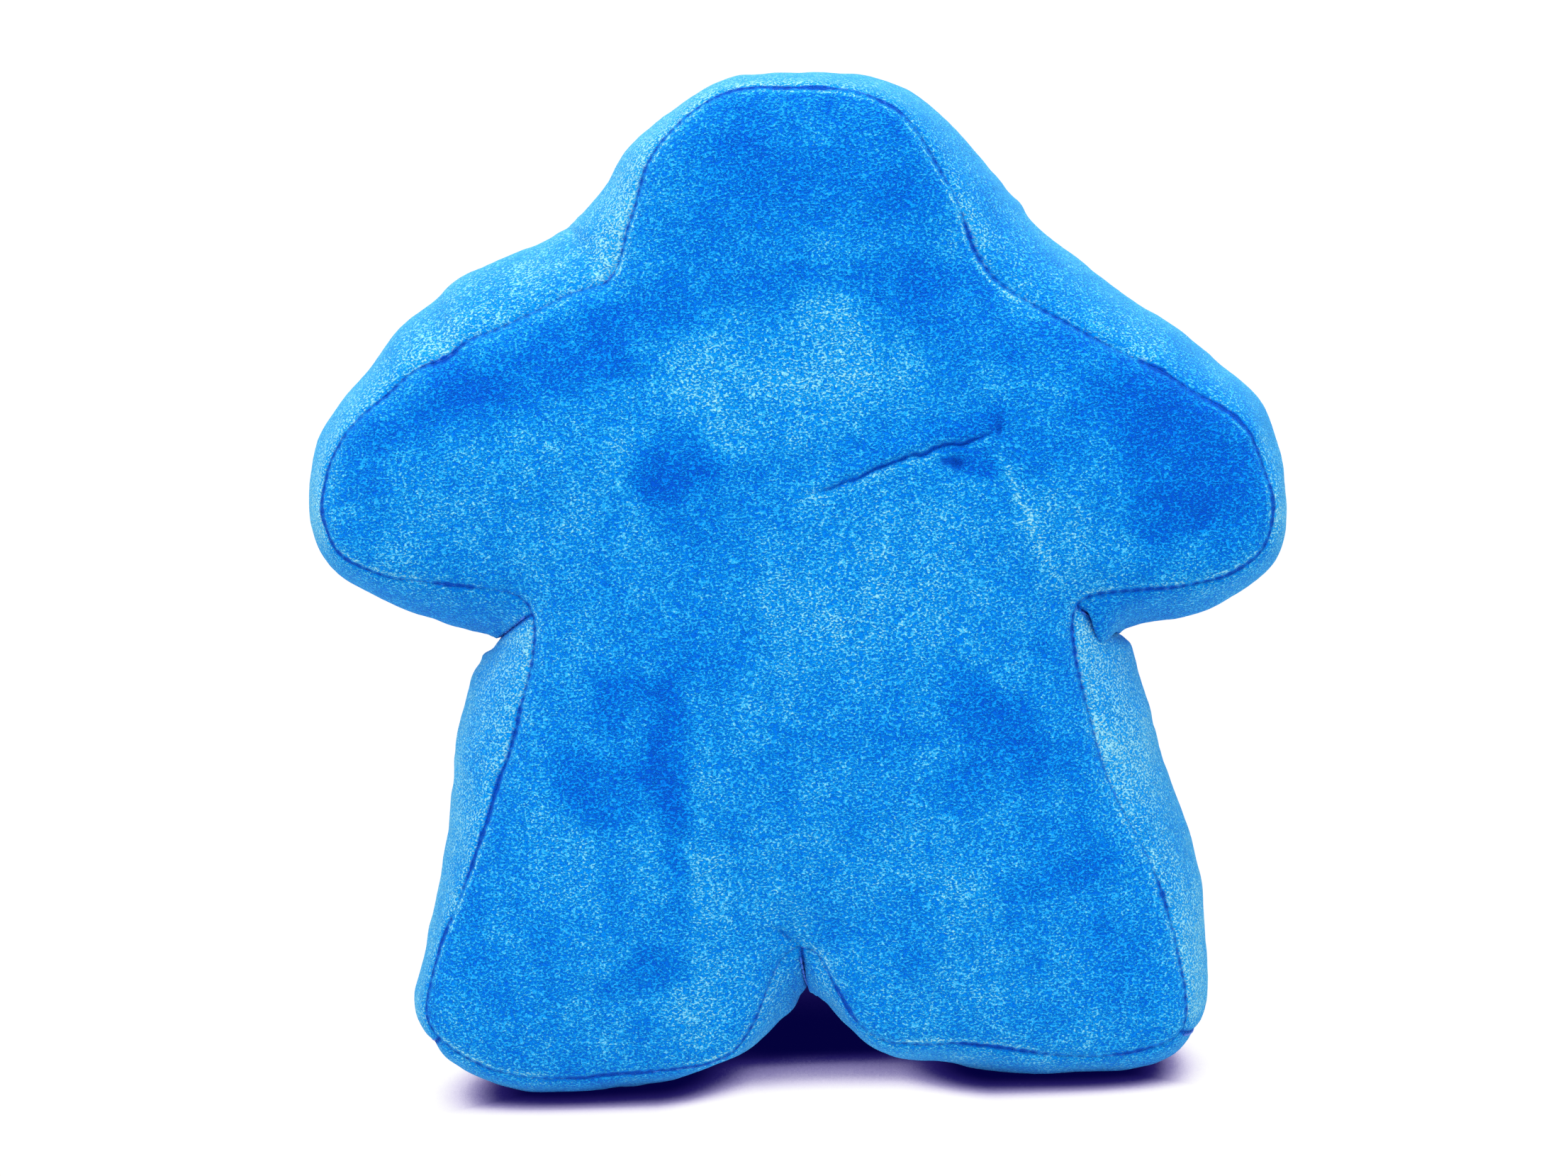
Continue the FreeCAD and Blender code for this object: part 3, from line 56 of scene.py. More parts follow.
# Seam outline of a panel, clockwise seen from the front, evenly spaced.
SEAM = [
    (-49.29, 238.63), (-47.97, 241.32), (-46.88, 244.11), (-45.92, 246.95), (-45.0, 249.81), (-43.93, 252.61), (-42.79, 255.38), (-41.82, 258.22),
    (-40.97, 261.1), (-40.12, 263.97), (-39.12, 266.8), (-37.83, 269.51), (-36.2, 272.02), (-34.3, 274.34), (-32.23, 276.51), (-30.06, 278.58),
    (-27.83, 280.58), (-25.5, 282.47), (-23.05, 284.2), (-20.45, 285.7), (-17.71, 286.92), (-14.87, 287.86), (-11.94, 288.52), (-8.97, 288.89),
    (-5.97, 288.98), (-2.97, 288.87), (0.02, 288.65), (3.01, 288.41), (6.0, 288.2), (8.99, 287.99), (11.98, 287.75), (14.96, 287.41),
    (17.92, 286.95), (20.85, 286.31), (23.73, 285.46), (26.52, 284.37), (29.2, 283.03), (31.74, 281.43), (34.07, 279.54), (36.13, 277.37),
    (37.92, 274.96), (39.5, 272.41), (40.94, 269.78), (42.31, 267.12), (43.7, 264.46), (45.12, 261.81), (46.52, 259.17), (47.86, 256.48),
    (49.08, 253.74), (50.12, 250.93), (50.95, 248.05), (51.71, 245.15), (52.53, 242.26), (53.55, 239.44), (54.92, 236.78), (56.65, 234.33),
    (58.67, 232.12), (60.92, 230.13), (63.32, 228.33), (65.81, 226.67), (68.35, 225.07), (70.9, 223.49), (73.45, 221.91), (76.0, 220.33),
    (78.55, 218.75), (81.1, 217.18), (83.67, 215.63), (86.26, 214.11), (88.86, 212.63), (91.48, 211.17), (94.12, 209.74), (96.77, 208.34),
    (99.43, 206.95), (102.08, 205.54), (104.65, 203.99), (107.08, 202.24), (109.42, 200.37), (111.86, 198.62), (114.4, 197.03), (116.99, 195.51),
    (119.55, 193.96), (122.04, 192.28), (124.37, 190.4), (126.43, 188.22), (128.06, 185.71), (129.31, 182.99), (130.35, 180.17), (131.26, 177.31),
    (132.03, 174.42), (132.66, 171.48), (133.13, 168.52), (133.4, 165.53), (133.4, 162.54), (133.02, 159.56), (132.17, 156.69), (130.78, 154.04),
    (128.93, 151.69), (126.75, 149.63), (124.33, 147.86), (121.71, 146.4), (118.95, 145.24), (116.08, 144.36), (113.15, 143.72), (110.19, 143.28),
    (107.2, 142.99), (104.21, 142.82), (101.21, 142.73), (98.21, 142.67), (95.21, 142.62), (92.21, 142.54), (89.22, 142.38), (86.23, 142.13),
    (83.25, 141.76), (80.32, 141.15), (77.97, 139.36), (76.79, 136.63), (76.48, 133.65), (76.55, 130.65), (76.79, 127.66), (77.13, 124.68),
    (77.56, 121.72), (78.07, 118.76), (78.63, 115.81), (79.23, 112.88), (79.86, 109.94), (80.5, 107.01), (81.14, 104.08), (81.77, 101.15),
    (82.42, 98.22), (83.12, 95.31), (83.91, 92.41), (84.83, 89.56), (85.9, 86.76), (87.1, 84.01), (88.4, 81.3), (89.74, 78.62),
    (91.08, 75.94), (92.39, 73.24), (93.64, 70.52), (94.85, 67.77), (95.99, 65.0), (97.06, 62.2), (98.06, 59.37), (98.98, 56.51),
    (99.82, 53.63), (100.58, 50.73), (101.28, 47.82), (101.92, 44.89), (102.51, 41.95), (103.05, 39.0), (103.52, 36.03), (103.93, 33.06),
    (104.26, 30.08), (104.51, 27.09), (104.63, 24.1), (104.32, 21.12), (103.14, 18.38), (101.02, 16.28), (98.44, 14.77), (95.61, 13.77),
    (92.68, 13.14), (89.71, 12.72), (86.73, 12.35), (83.75, 12.05), (80.76, 11.86), (77.76, 11.82), (74.76, 11.9), (71.77, 12.09),
    (68.78, 12.37), (65.8, 12.73), (62.83, 13.14), (59.87, 13.59), (56.9, 14.06), (53.94, 14.53), (50.98, 14.99), (48.01, 15.41),
    (45.04, 15.79), (42.05, 16.11), (39.06, 16.34), (36.07, 16.48), (33.07, 16.5), (30.07, 16.41), (27.07, 16.32), (24.07, 16.35),
    (21.09, 16.62), (18.17, 17.3), (15.42, 18.48), (12.93, 20.15), (10.75, 22.2), (8.92, 24.57), (7.43, 27.17), (6.1, 29.86),
    (4.74, 32.54), (3.38, 35.21), (2.04, 37.89), (0.74, 40.6), (-0.89, 43.1), (-3.4, 44.66), (-6.35, 44.62), (-8.68, 42.78),
    (-10.48, 40.38), (-12.06, 37.83), (-13.46, 35.18), (-14.73, 32.47), (-15.94, 29.72), (-17.17, 26.99), (-18.5, 24.3), (-20.02, 21.71),
    (-21.82, 19.32), (-24.0, 17.26), (-26.55, 15.7), (-29.33, 14.59), (-32.23, 13.8), (-35.17, 13.21), (-38.13, 12.76), (-41.11, 12.42),
    (-44.1, 12.16), (-47.09, 11.94), (-50.08, 11.74), (-53.08, 11.54), (-56.07, 11.35), (-59.06, 11.17), (-62.06, 11.01), (-65.05, 10.89),
    (-68.05, 10.8), (-71.05, 10.77), (-74.05, 10.79), (-77.05, 10.89), (-80.04, 11.07), (-83.03, 11.35), (-86.0, 11.75), (-88.95, 12.29),
    (-91.87, 12.99), (-94.73, 13.86), (-97.54, 14.92), (-100.27, 16.17), (-102.91, 17.59), (-105.44, 19.2), (-107.86, 20.97), (-110.12, 22.93),
    (-112.07, 25.21), (-113.34, 27.91), (-113.58, 30.89), (-113.15, 33.85), (-112.46, 36.77), (-111.7, 39.67), (-110.91, 42.56), (-110.05, 45.44),
    (-109.09, 48.28), (-108.03, 51.08), (-106.86, 53.84), (-105.61, 56.57), (-104.33, 59.28), (-103.03, 61.99), (-101.75, 64.7), (-100.51, 67.43),
    (-99.29, 70.17), (-98.1, 72.92), (-96.92, 75.68), (-95.77, 78.45), (-94.63, 81.23), (-93.55, 84.02), (-92.52, 86.84), (-91.54, 89.67),
    (-90.55, 92.5), (-89.49, 95.31), (-88.37, 98.09), (-87.23, 100.87), (-86.1, 103.65), (-85.03, 106.45), (-84.04, 109.28), (-83.14, 112.14),
    (-82.3, 115.02), (-81.48, 117.9), (-80.64, 120.78), (-79.79, 123.66), (-78.97, 126.54), (-78.22, 129.45), (-77.58, 132.38), (-77.1, 135.34),
    (-76.87, 138.33), (-76.98, 141.32), (-77.64, 144.24), (-79.15, 146.81), (-81.46, 148.69), (-84.27, 149.71), (-87.22, 150.26), (-90.17, 150.81),
    (-93.12, 151.36), (-96.07, 151.9), (-99.03, 152.4), (-101.99, 152.83), (-104.97, 153.2), (-107.95, 153.54), (-110.92, 153.94), (-113.88, 154.45),
    (-116.79, 155.15), (-119.64, 156.08), (-122.42, 157.22), (-125.12, 158.52), (-127.74, 159.98), (-130.19, 161.7), (-132.24, 163.88), (-133.73, 166.48),
    (-134.74, 169.3), (-135.37, 172.23), (-135.63, 175.21), (-135.54, 178.21), (-135.13, 181.18), (-134.44, 184.1), (-133.5, 186.94), (-132.33, 189.71),
    (-130.94, 192.36), (-129.33, 194.89), (-127.52, 197.28), (-125.49, 199.49), (-123.28, 201.52), (-120.95, 203.41), (-118.57, 205.23), (-116.19, 207.05),
    (-113.85, 208.92), (-111.53, 210.82), (-109.17, 212.68), (-106.64, 214.28), (-103.86, 215.39), (-100.95, 216.12), (-98.06, 216.92), (-95.46, 218.39),
    (-93.15, 220.3), (-90.61, 221.89), (-87.85, 223.04), (-85.0, 223.99), (-82.15, 224.91), (-79.32, 225.9), (-76.52, 226.99), (-73.76, 228.16),
    (-71.01, 229.36), (-68.27, 230.58), (-65.51, 231.76), (-62.73, 232.87), (-59.9, 233.89), (-57.04, 234.77), (-54.14, 235.54), (-51.3, 236.46),
]

# Boxing strip: distance along the seam, direction of the bulge, bulge.
STATIONS = [
    (844.7, -146.78, 18.0), (864, -100.15, 15.5), (880, -98.44, 13.0), (896, -116.94, 9.5), (904, -136.93, 9.0), (912, -163.66, 9.0),
    (920, -182.76, 9.2), (928, -197.57, 9.5), (944, -223.29, 11.0), (960, -231.86, 14.5), (976, -247.38, 18.5), (992, -249.42, 20.0),
    (1004, -247.42, 20.5), (1017, -249.77, 20.5), (1031.6, -228.65, 22.0), (1046.3, -199.83, 16.5), (1057.7, -199.05, 12.0), (1068.7, -217.02, 9.0),
    (1079.7, -230.22, 7.5), (1095.7, -256.4, 7.0), (1111.7, -274.03, 7.3), (1127.7, -281.21, 7.6), (1139.7, -299.99, 8.0), (1149.7, -321.16, 9.5),
    (1159.7, -331.73, 12.0), (1175.7, -338.4, 15.0), (1192.0, -320.71, 20.0), (1205.7, -306.22, 20.0), (1223.7, -301.51, 18.0), (1239.7, -298.58, 16.0),
    (1255.7, -304.54, 13.5), (1271.7, -304.1, 11.3), (1280.7, -322.29, 10.0), (1288.7, -339.26, 9.0), (1296.7, -347.75, 8.5), (1304.7, -358.74, 8.3),
    (1312.7, -379.68, 8.3), (1320.7, -404.7, 8.9), (1328.7, -423.93, 9.2), (1337.7, -439.23, 10.2), (1351.7, -448.49, 12.2), (1374.0, -398.48, 16.6),
    (1394.7, -349.89, 17.5), (1415.7, -346.46, 18.3), (1431.7, -335.3, 17.0), (1447.7, -336.74, 15.0), (1463.7, -344.49, 13.3), (1479.7, -350.88, 10.2),
    (1500.2, -397.41, 9.0), (1505.7, -423.61, 11.0), (1511.7, -438.25, 12.0), (1519.7, -445.31, 12.76), (1527.7, -451.12, 12.44), (1543.7, -458.47, 14.82),
    (1559.7, -456.33, 14.4), (1567.7, -451.91, 13.1), (1577.7, -451.22, 11.2), (1582.7, -459.12, 9.9), (1588.7, -475.24, 8.4), (1594.7, -494.4, 7.2),
    (1602.7, -510.53, 7.2), (1611.7, -513.09, 8.6), (1623.6, -450.0, 15.5), (1634.7, -390.56, 9.6), (1644.7, -385.4, 9.3), (1651.7, -393.44, 7.8),
    (1658.7, -412.76, 6.9), (1666.2, -432.94, 7.0), (1673.7, -442.08, 8.6), (1681.7, -445.56, 10.0), (1689.7, -446.37, 11.3), (1703.7, -449.02, 12.0),
    (1719.7, -457.64, 12.78), (1727.7, -465.53, 11.8), (1735.7, -475.32, 11.2), (1742.7, -484.74, 10.6), (1748.2, -497.21, 8.8), (1755.7, -529.33, 7.6),
    (1767.7, -555.51, 6.4), (1783.7, -564.24, 7.8), (1799.7, -563.74, 12.0), (1815.7, -560.36, 16.0), (1831.7, -561.78, 18.7), (1852.7, -556.14, 18.5),
    (1876.4, -506.78, 18.0),
]

DOME_KX = [-144.0, -135.0, -126.0, -117.0, -108.0, -99.0, -90.0, -81.0, -72.0, -63.0, -54.0, -45.0, -36.0, -27.0, -18.0, -9.0, 0.0, 9.0, 18.0, 27.0, 36.0, 45.0, 54.0, 63.0, 72.0, 81.0, 90.0, 99.0, 108.0, 117.0, 126.0, 135.0, 144.0]
DOME_KZ = [0.0, 10.0, 20.0, 30.0, 40.0, 50.0, 60.0, 70.0, 80.0, 90.0, 100.0, 110.0, 120.0, 130.0, 140.0, 150.0, 160.0, 170.0, 180.0, 190.0, 200.0, 210.0, 220.0, 230.0, 240.0, 250.0, 260.0, 270.0, 280.0, 290.0, 300.0]
DOME = [
    [-0.496, -0.49, -0.503, -0.488, -0.485, -0.492, -0.494, -0.502, -0.493, -0.493, -0.495, -0.496, -0.495, -0.495, -0.494, -0.495, -0.494, -0.498, -0.448, -0.438, -0.505, -0.477, -0.507, -0.492, -0.497, -0.494, -0.496, -0.495, -0.495, -0.495, -0.495, -0.495, -0.495],
    [-0.489, -0.525, -0.446, -0.538, -0.56, -0.514, -0.503, -0.453, -0.505, -0.51, -0.496, -0.489, -0.486, -0.506, -0.481, -0.532, -0.429, -0.632, -0.341, -0.28, -0.531, -0.572, -0.431, -0.509, -0.488, -0.499, -0.493, -0.497, -0.494, -0.495, -0.495, -0.495, -0.495],
    [-0.506, -0.439, -0.586, -0.416, -0.368, -0.46, -0.48, -0.573, -0.477, -0.466, -0.495, -0.503, -0.517, -0.461, -0.543, -0.383, -0.695, -0.131, 0.132, 0.119, -0.027, -0.519, -0.551, -0.499, -0.493, -0.495, -0.495, -0.494, -0.495, -0.495, -0.495, -0.495, -0.495],
    [-0.481, -0.567, -0.378, -0.592, -0.68, -0.542, -0.511, -0.39, -0.521, -0.529, -0.501, -0.472, -0.487, -0.498, -0.509, -0.491, -0.557, 0.144, 0.289, 0.21, 0.295, 0.08, -0.627, -0.392, -0.549, -0.468, -0.509, -0.488, -0.499, -0.492, -0.497, -0.494, -0.495],
    [-0.516, -0.389, -0.659, -0.392, -0.034, -0.423, -0.498, -0.682, -0.444, -0.44, -0.482, -0.54, -0.495, -0.512, -0.43, -0.573, -0.322, 0.372, 0.23, 0.522, 0.213, 0.333, -0.127, -0.757, -0.358, -0.566, -0.457, -0.513, -0.483, -0.503, -0.489, -0.498, -0.494],
    [-0.499, -0.444, -0.681, 0.074, 0.32, 0.298, 0.11, -0.166, -0.596, -0.622, -0.495, -0.44, -0.446, -0.552, -0.448, -0.672, -0.14, 0.282, 0.404, 0.448, 0.497, 0.244, 0.251, -0.245, -0.648, -0.415, -0.538, -0.475, -0.509, -0.485, -0.503, -0.491, -0.496],
    [-0.473, -0.648, -0.225, 0.278, 0.22, 0.305, 0.249, 0.281, 0.107, -0.19, -0.525, -0.637, -0.528, -0.494, -0.372, -0.585, -0.128, 0.353, 0.401, 0.556, 0.509, 0.39, 0.387, -0.276, -0.575, -0.451, -0.519, -0.476, -0.501, -0.494, -0.495, -0.495, -0.495],
    [-0.491, -0.554, -0.008, 0.221, 0.453, 0.478, 0.442, 0.344, 0.274, 0.285, 0.166, -0.074, -0.419, -0.612, -0.554, -0.729, 0.063, 0.306, 0.505, 0.584, 0.56, 0.529, 0.2, 0.309, -0.563, -0.492, -0.493, -0.508, -0.496, -0.489, -0.501, -0.492, -0.496],
    [-0.494, -0.484, 0.03, 0.316, 0.401, 0.511, 0.51, 0.528, 0.48, 0.375, 0.305, 0.292, 0.229, 0.058, -0.144, -0.352, 0.008, 0.437, 0.508, 0.657, 0.611, 0.566, 0.442, 0.283, -0.256, -0.591, -0.447, -0.499, -0.476, -0.515, -0.476, -0.505, -0.493],
    [-0.49, -0.465, 0.061, 0.286, 0.48, 0.56, 0.607, 0.577, 0.577, 0.564, 0.546, 0.419, 0.366, 0.3, 0.307, 0.315, 0.242, 0.495, 0.592, 0.685, 0.689, 0.622, 0.46, 0.326, 0.013, -0.692, -0.398, -0.586, -0.475, -0.489, -0.505, -0.49, -0.496],
    [-0.494, -0.476, 0.031, 0.325, 0.453, 0.557, 0.638, 0.665, 0.662, 0.649, 0.615, 0.618, 0.579, 0.543, 0.454, 0.408, 0.541, 0.585, 0.686, 0.729, 0.747, 0.643, 0.594, 0.361, 0.209, -0.385, -0.574, -0.373, -0.506, -0.521, -0.465, -0.511, -0.492],
    [-0.492, -0.513, 0.02, 0.272, 0.493, 0.587, 0.658, 0.709, 0.721, 0.729, 0.733, 0.696, 0.684, 0.657, 0.662, 0.672, 0.643, 0.714, 0.753, 0.786, 0.798, 0.692, 0.664, 0.39, 0.413, -0.385, -0.574, -0.623, -0.531, -0.409, -0.58, -0.449, -0.503],
    [-0.491, -0.527, -0.058, 0.344, 0.413, 0.562, 0.654, 0.707, 0.762, 0.789, 0.778, 0.795, 0.785, 0.777, 0.752, 0.744, 0.781, 0.797, 0.818, 0.851, 0.812, 0.784, 0.621, 0.623, 0.156, 0.218, 0.091, -0.218, -0.443, -0.669, -0.324, -0.588, -0.48],
    [-0.485, -0.606, -0.012, 0.17, 0.512, 0.59, 0.611, 0.683, 0.744, 0.805, 0.851, 0.838, 0.849, 0.843, 0.849, 0.855, 0.848, 0.868, 0.876, 0.886, 0.862, 0.783, 0.74, 0.565, 0.572, 0.399, 0.248, 0.322, 0.216, -0.308, -0.743, -0.356, -0.518],
    [-0.482, -0.59, -0.31, 0.409, 0.213, 0.352, 0.524, 0.644, 0.723, 0.798, 0.849, 0.9, 0.893, 0.905, 0.899, 0.902, 0.913, 0.916, 0.919, 0.924, 0.879, 0.843, 0.759, 0.719, 0.575, 0.547, 0.513, 0.342, 0.27, 0.168, -0.429, -0.596, -0.476],
    [-0.494, -0.478, -0.614, -0.114, 0.23, 0.446, 0.408, 0.559, 0.697, 0.79, 0.856, 0.901, 0.936, 0.934, 0.947, 0.949, 0.95, 0.952, 0.953, 0.943, 0.911, 0.868, 0.824, 0.752, 0.722, 0.658, 0.542, 0.578, 0.375, 0.285, -0.05, -0.593, -0.486],
    [-0.5, -0.475, -0.503, -0.569, -0.534, -0.159, 0.139, 0.568, 0.64, 0.799, 0.849, 0.911, 0.943, 0.965, 0.964, 0.973, 0.975, 0.974, 0.973, 0.958, 0.927, 0.895, 0.849, 0.809, 0.748, 0.693, 0.674, 0.546, 0.48, 0.286, 0.056, -0.455, -0.497],
    [-0.484, -0.557, -0.378, -0.65, -0.343, -0.122, 0.099, 0.606, 0.623, 0.814, 0.842, 0.921, 0.937, 0.977, 0.982, 0.988, 0.989, 0.988, 0.984, 0.967, 0.944, 0.913, 0.88, 0.835, 0.797, 0.747, 0.662, 0.59, 0.475, 0.297, 0.019, -0.51, -0.492],
    [-0.514, -0.377, -0.758, -0.05, 0.216, 0.453, 0.435, 0.549, 0.712, 0.787, 0.87, 0.903, 0.951, 0.958, 0.964, 0.973, 0.976, 0.976, 0.975, 0.959, 0.933, 0.903, 0.863, 0.824, 0.773, 0.724, 0.674, 0.587, 0.427, 0.313, -0.04, -0.528, -0.49],
    [-0.479, -0.578, -0.422, 0.284, 0.283, 0.359, 0.53, 0.652, 0.728, 0.812, 0.855, 0.914, 0.923, 0.934, 0.946, 0.943, 0.953, 0.954, 0.957, 0.943, 0.912, 0.875, 0.832, 0.778, 0.732, 0.684, 0.603, 0.529, 0.49, 0.222, -0.033, -0.591, -0.488],
    [-0.48, -0.583, -0.361, 0.241, 0.382, 0.636, 0.61, 0.694, 0.753, 0.813, 0.87, 0.877, 0.886, 0.893, 0.891, 0.911, 0.914, 0.921, 0.928, 0.921, 0.881, 0.843, 0.782, 0.732, 0.653, 0.611, 0.544, 0.516, 0.237, 0.309, -0.284, -0.619, -0.476],
    [-0.483, -0.56, -0.432, 0.253, 0.352, 0.528, 0.652, 0.725, 0.77, 0.816, 0.811, 0.829, 0.833, 0.837, 0.853, 0.834, 0.861, 0.875, 0.889, 0.89, 0.846, 0.792, 0.726, 0.634, 0.557, 0.496, 0.384, 0.238, 0.326, 0.011, -0.685, -0.439, -0.501],
    [-0.479, -0.595, -0.335, 0.259, 0.389, 0.592, 0.629, 0.724, 0.743, 0.75, 0.769, 0.762, 0.757, 0.749, 0.726, 0.782, 0.782, 0.815, 0.839, 0.852, 0.8, 0.743, 0.65, 0.548, 0.414, 0.258, 0.345, 0.143, -0.204, -0.63, -0.469, -0.491, -0.497],
    [-0.478, -0.617, -0.197, 0.26, 0.401, 0.546, 0.628, 0.691, 0.688, 0.689, 0.66, 0.667, 0.65, 0.647, 0.681, 0.604, 0.689, 0.74, 0.783, 0.806, 0.755, 0.67, 0.579, 0.382, 0.233, 0.002, -0.173, -0.487, -0.662, -0.427, -0.511, -0.495, -0.494],
    [-0.488, -0.585, -0.092, 0.281, 0.439, 0.552, 0.624, 0.618, 0.6, 0.591, 0.59, 0.54, 0.51, 0.463, 0.372, 0.544, 0.552, 0.656, 0.721, 0.757, 0.689, 0.619, 0.479, 0.324, -0.009, -0.639, -0.61, -0.526, -0.405, -0.531, -0.486, -0.495, -0.495],
    [-0.49, -0.539, -0.002, 0.26, 0.41, 0.518, 0.536, 0.544, 0.544, 0.454, 0.355, 0.349, 0.299, 0.28, 0.364, 0.119, 0.413, 0.581, 0.656, 0.717, 0.609, 0.56, 0.298, 0.223, -0.413, -0.576, -0.366, -0.515, -0.521, -0.489, -0.49, -0.5, -0.494],
    [-0.491, -0.518, -0.018, 0.318, 0.435, 0.494, 0.473, 0.435, 0.314, 0.299, 0.241, 0.13, -0.011, -0.148, -0.359, -0.168, 0.441, 0.448, 0.662, 0.613, 0.582, 0.427, 0.339, -0.094, -0.691, -0.389, -0.594, -0.468, -0.49, -0.493, -0.502, -0.49, -0.496],
    [-0.486, -0.592, 0.004, 0.16, 0.329, 0.292, 0.288, 0.282, 0.267, 0.023, -0.337, -0.553, -0.629, -0.539, -0.759, -0.047, 0.28, 0.483, 0.577, 0.57, 0.531, 0.257, 0.195, -0.505, -0.495, -0.496, -0.472, -0.493, -0.506, -0.491, -0.495, -0.495, -0.495],
    [-0.483, -0.596, -0.249, 0.424, 0.237, 0.283, 0.195, 0.011, -0.264, -0.639, -0.59, -0.452, -0.49, -0.372, -0.571, -0.156, 0.375, 0.377, 0.561, 0.489, 0.369, 0.388, -0.124, -0.659, -0.423, -0.531, -0.488, -0.506, -0.483, -0.501, -0.492, -0.496, -0.495],
    [-0.484, -0.527, -0.555, -0.156, -0.181, -0.293, -0.525, -0.59, -0.632, -0.42, -0.463, -0.483, -0.559, -0.442, -0.693, -0.073, 0.251, 0.432, 0.44, 0.496, 0.236, 0.143, -0.433, -0.545, -0.46, -0.515, -0.477, -0.5, -0.495, -0.496, -0.494, -0.496, -0.495],
    [-0.504, -0.459, -0.502, -0.629, -0.618, -0.6, -0.491, -0.456, -0.424, -0.526, -0.528, -0.473, -0.514, -0.423, -0.585, -0.277, 0.397, 0.211, 0.494, 0.188, 0.352, -0.221, -0.708, -0.385, -0.557, -0.461, -0.517, -0.486, -0.499, -0.492, -0.497, -0.494, -0.495],
    [-0.489, -0.518, -0.486, -0.421, -0.427, -0.433, -0.497, -0.515, -0.539, -0.473, -0.482, -0.496, -0.507, -0.495, -0.52, -0.509, 0.155, 0.281, 0.187, 0.285, 0.093, -0.652, -0.387, -0.549, -0.464, -0.512, -0.484, -0.5, -0.493, -0.496, -0.494, -0.496, -0.495],
    [-0.499, -0.477, -0.503, -0.55, -0.545, -0.542, -0.493, -0.481, -0.459, -0.516, -0.497, -0.51, -0.457, -0.55, -0.371, -0.707, -0.259, 0.038, 0.009, -0.193, -0.565, -0.512, -0.512, -0.488, -0.5, -0.492, -0.498, -0.494, -0.495, -0.495, -0.495, -0.495, -0.495],
    [-0.493, -0.505, -0.491, -0.466, -0.468, -0.47, -0.496, -0.502, -0.514, -0.484, -0.494, -0.488, -0.514, -0.468, -0.557, -0.387, -0.647, -0.458, -0.5, -0.583, -0.528, -0.46, -0.499, -0.492, -0.496, -0.495, -0.494, -0.495, -0.495, -0.495, -0.495, -0.495, -0.495],
    [-0.495, -0.493, -0.496, -0.5, -0.499, -0.499, -0.495, -0.494, -0.492, -0.497, -0.495, -0.496, -0.493, -0.498, -0.488, -0.506, -0.481, -0.489, -0.486, -0.492, -0.484, -0.503, -0.493, -0.496, -0.495, -0.495, -0.495, -0.495, -0.495, -0.495, -0.495, -0.495, -0.495],
]

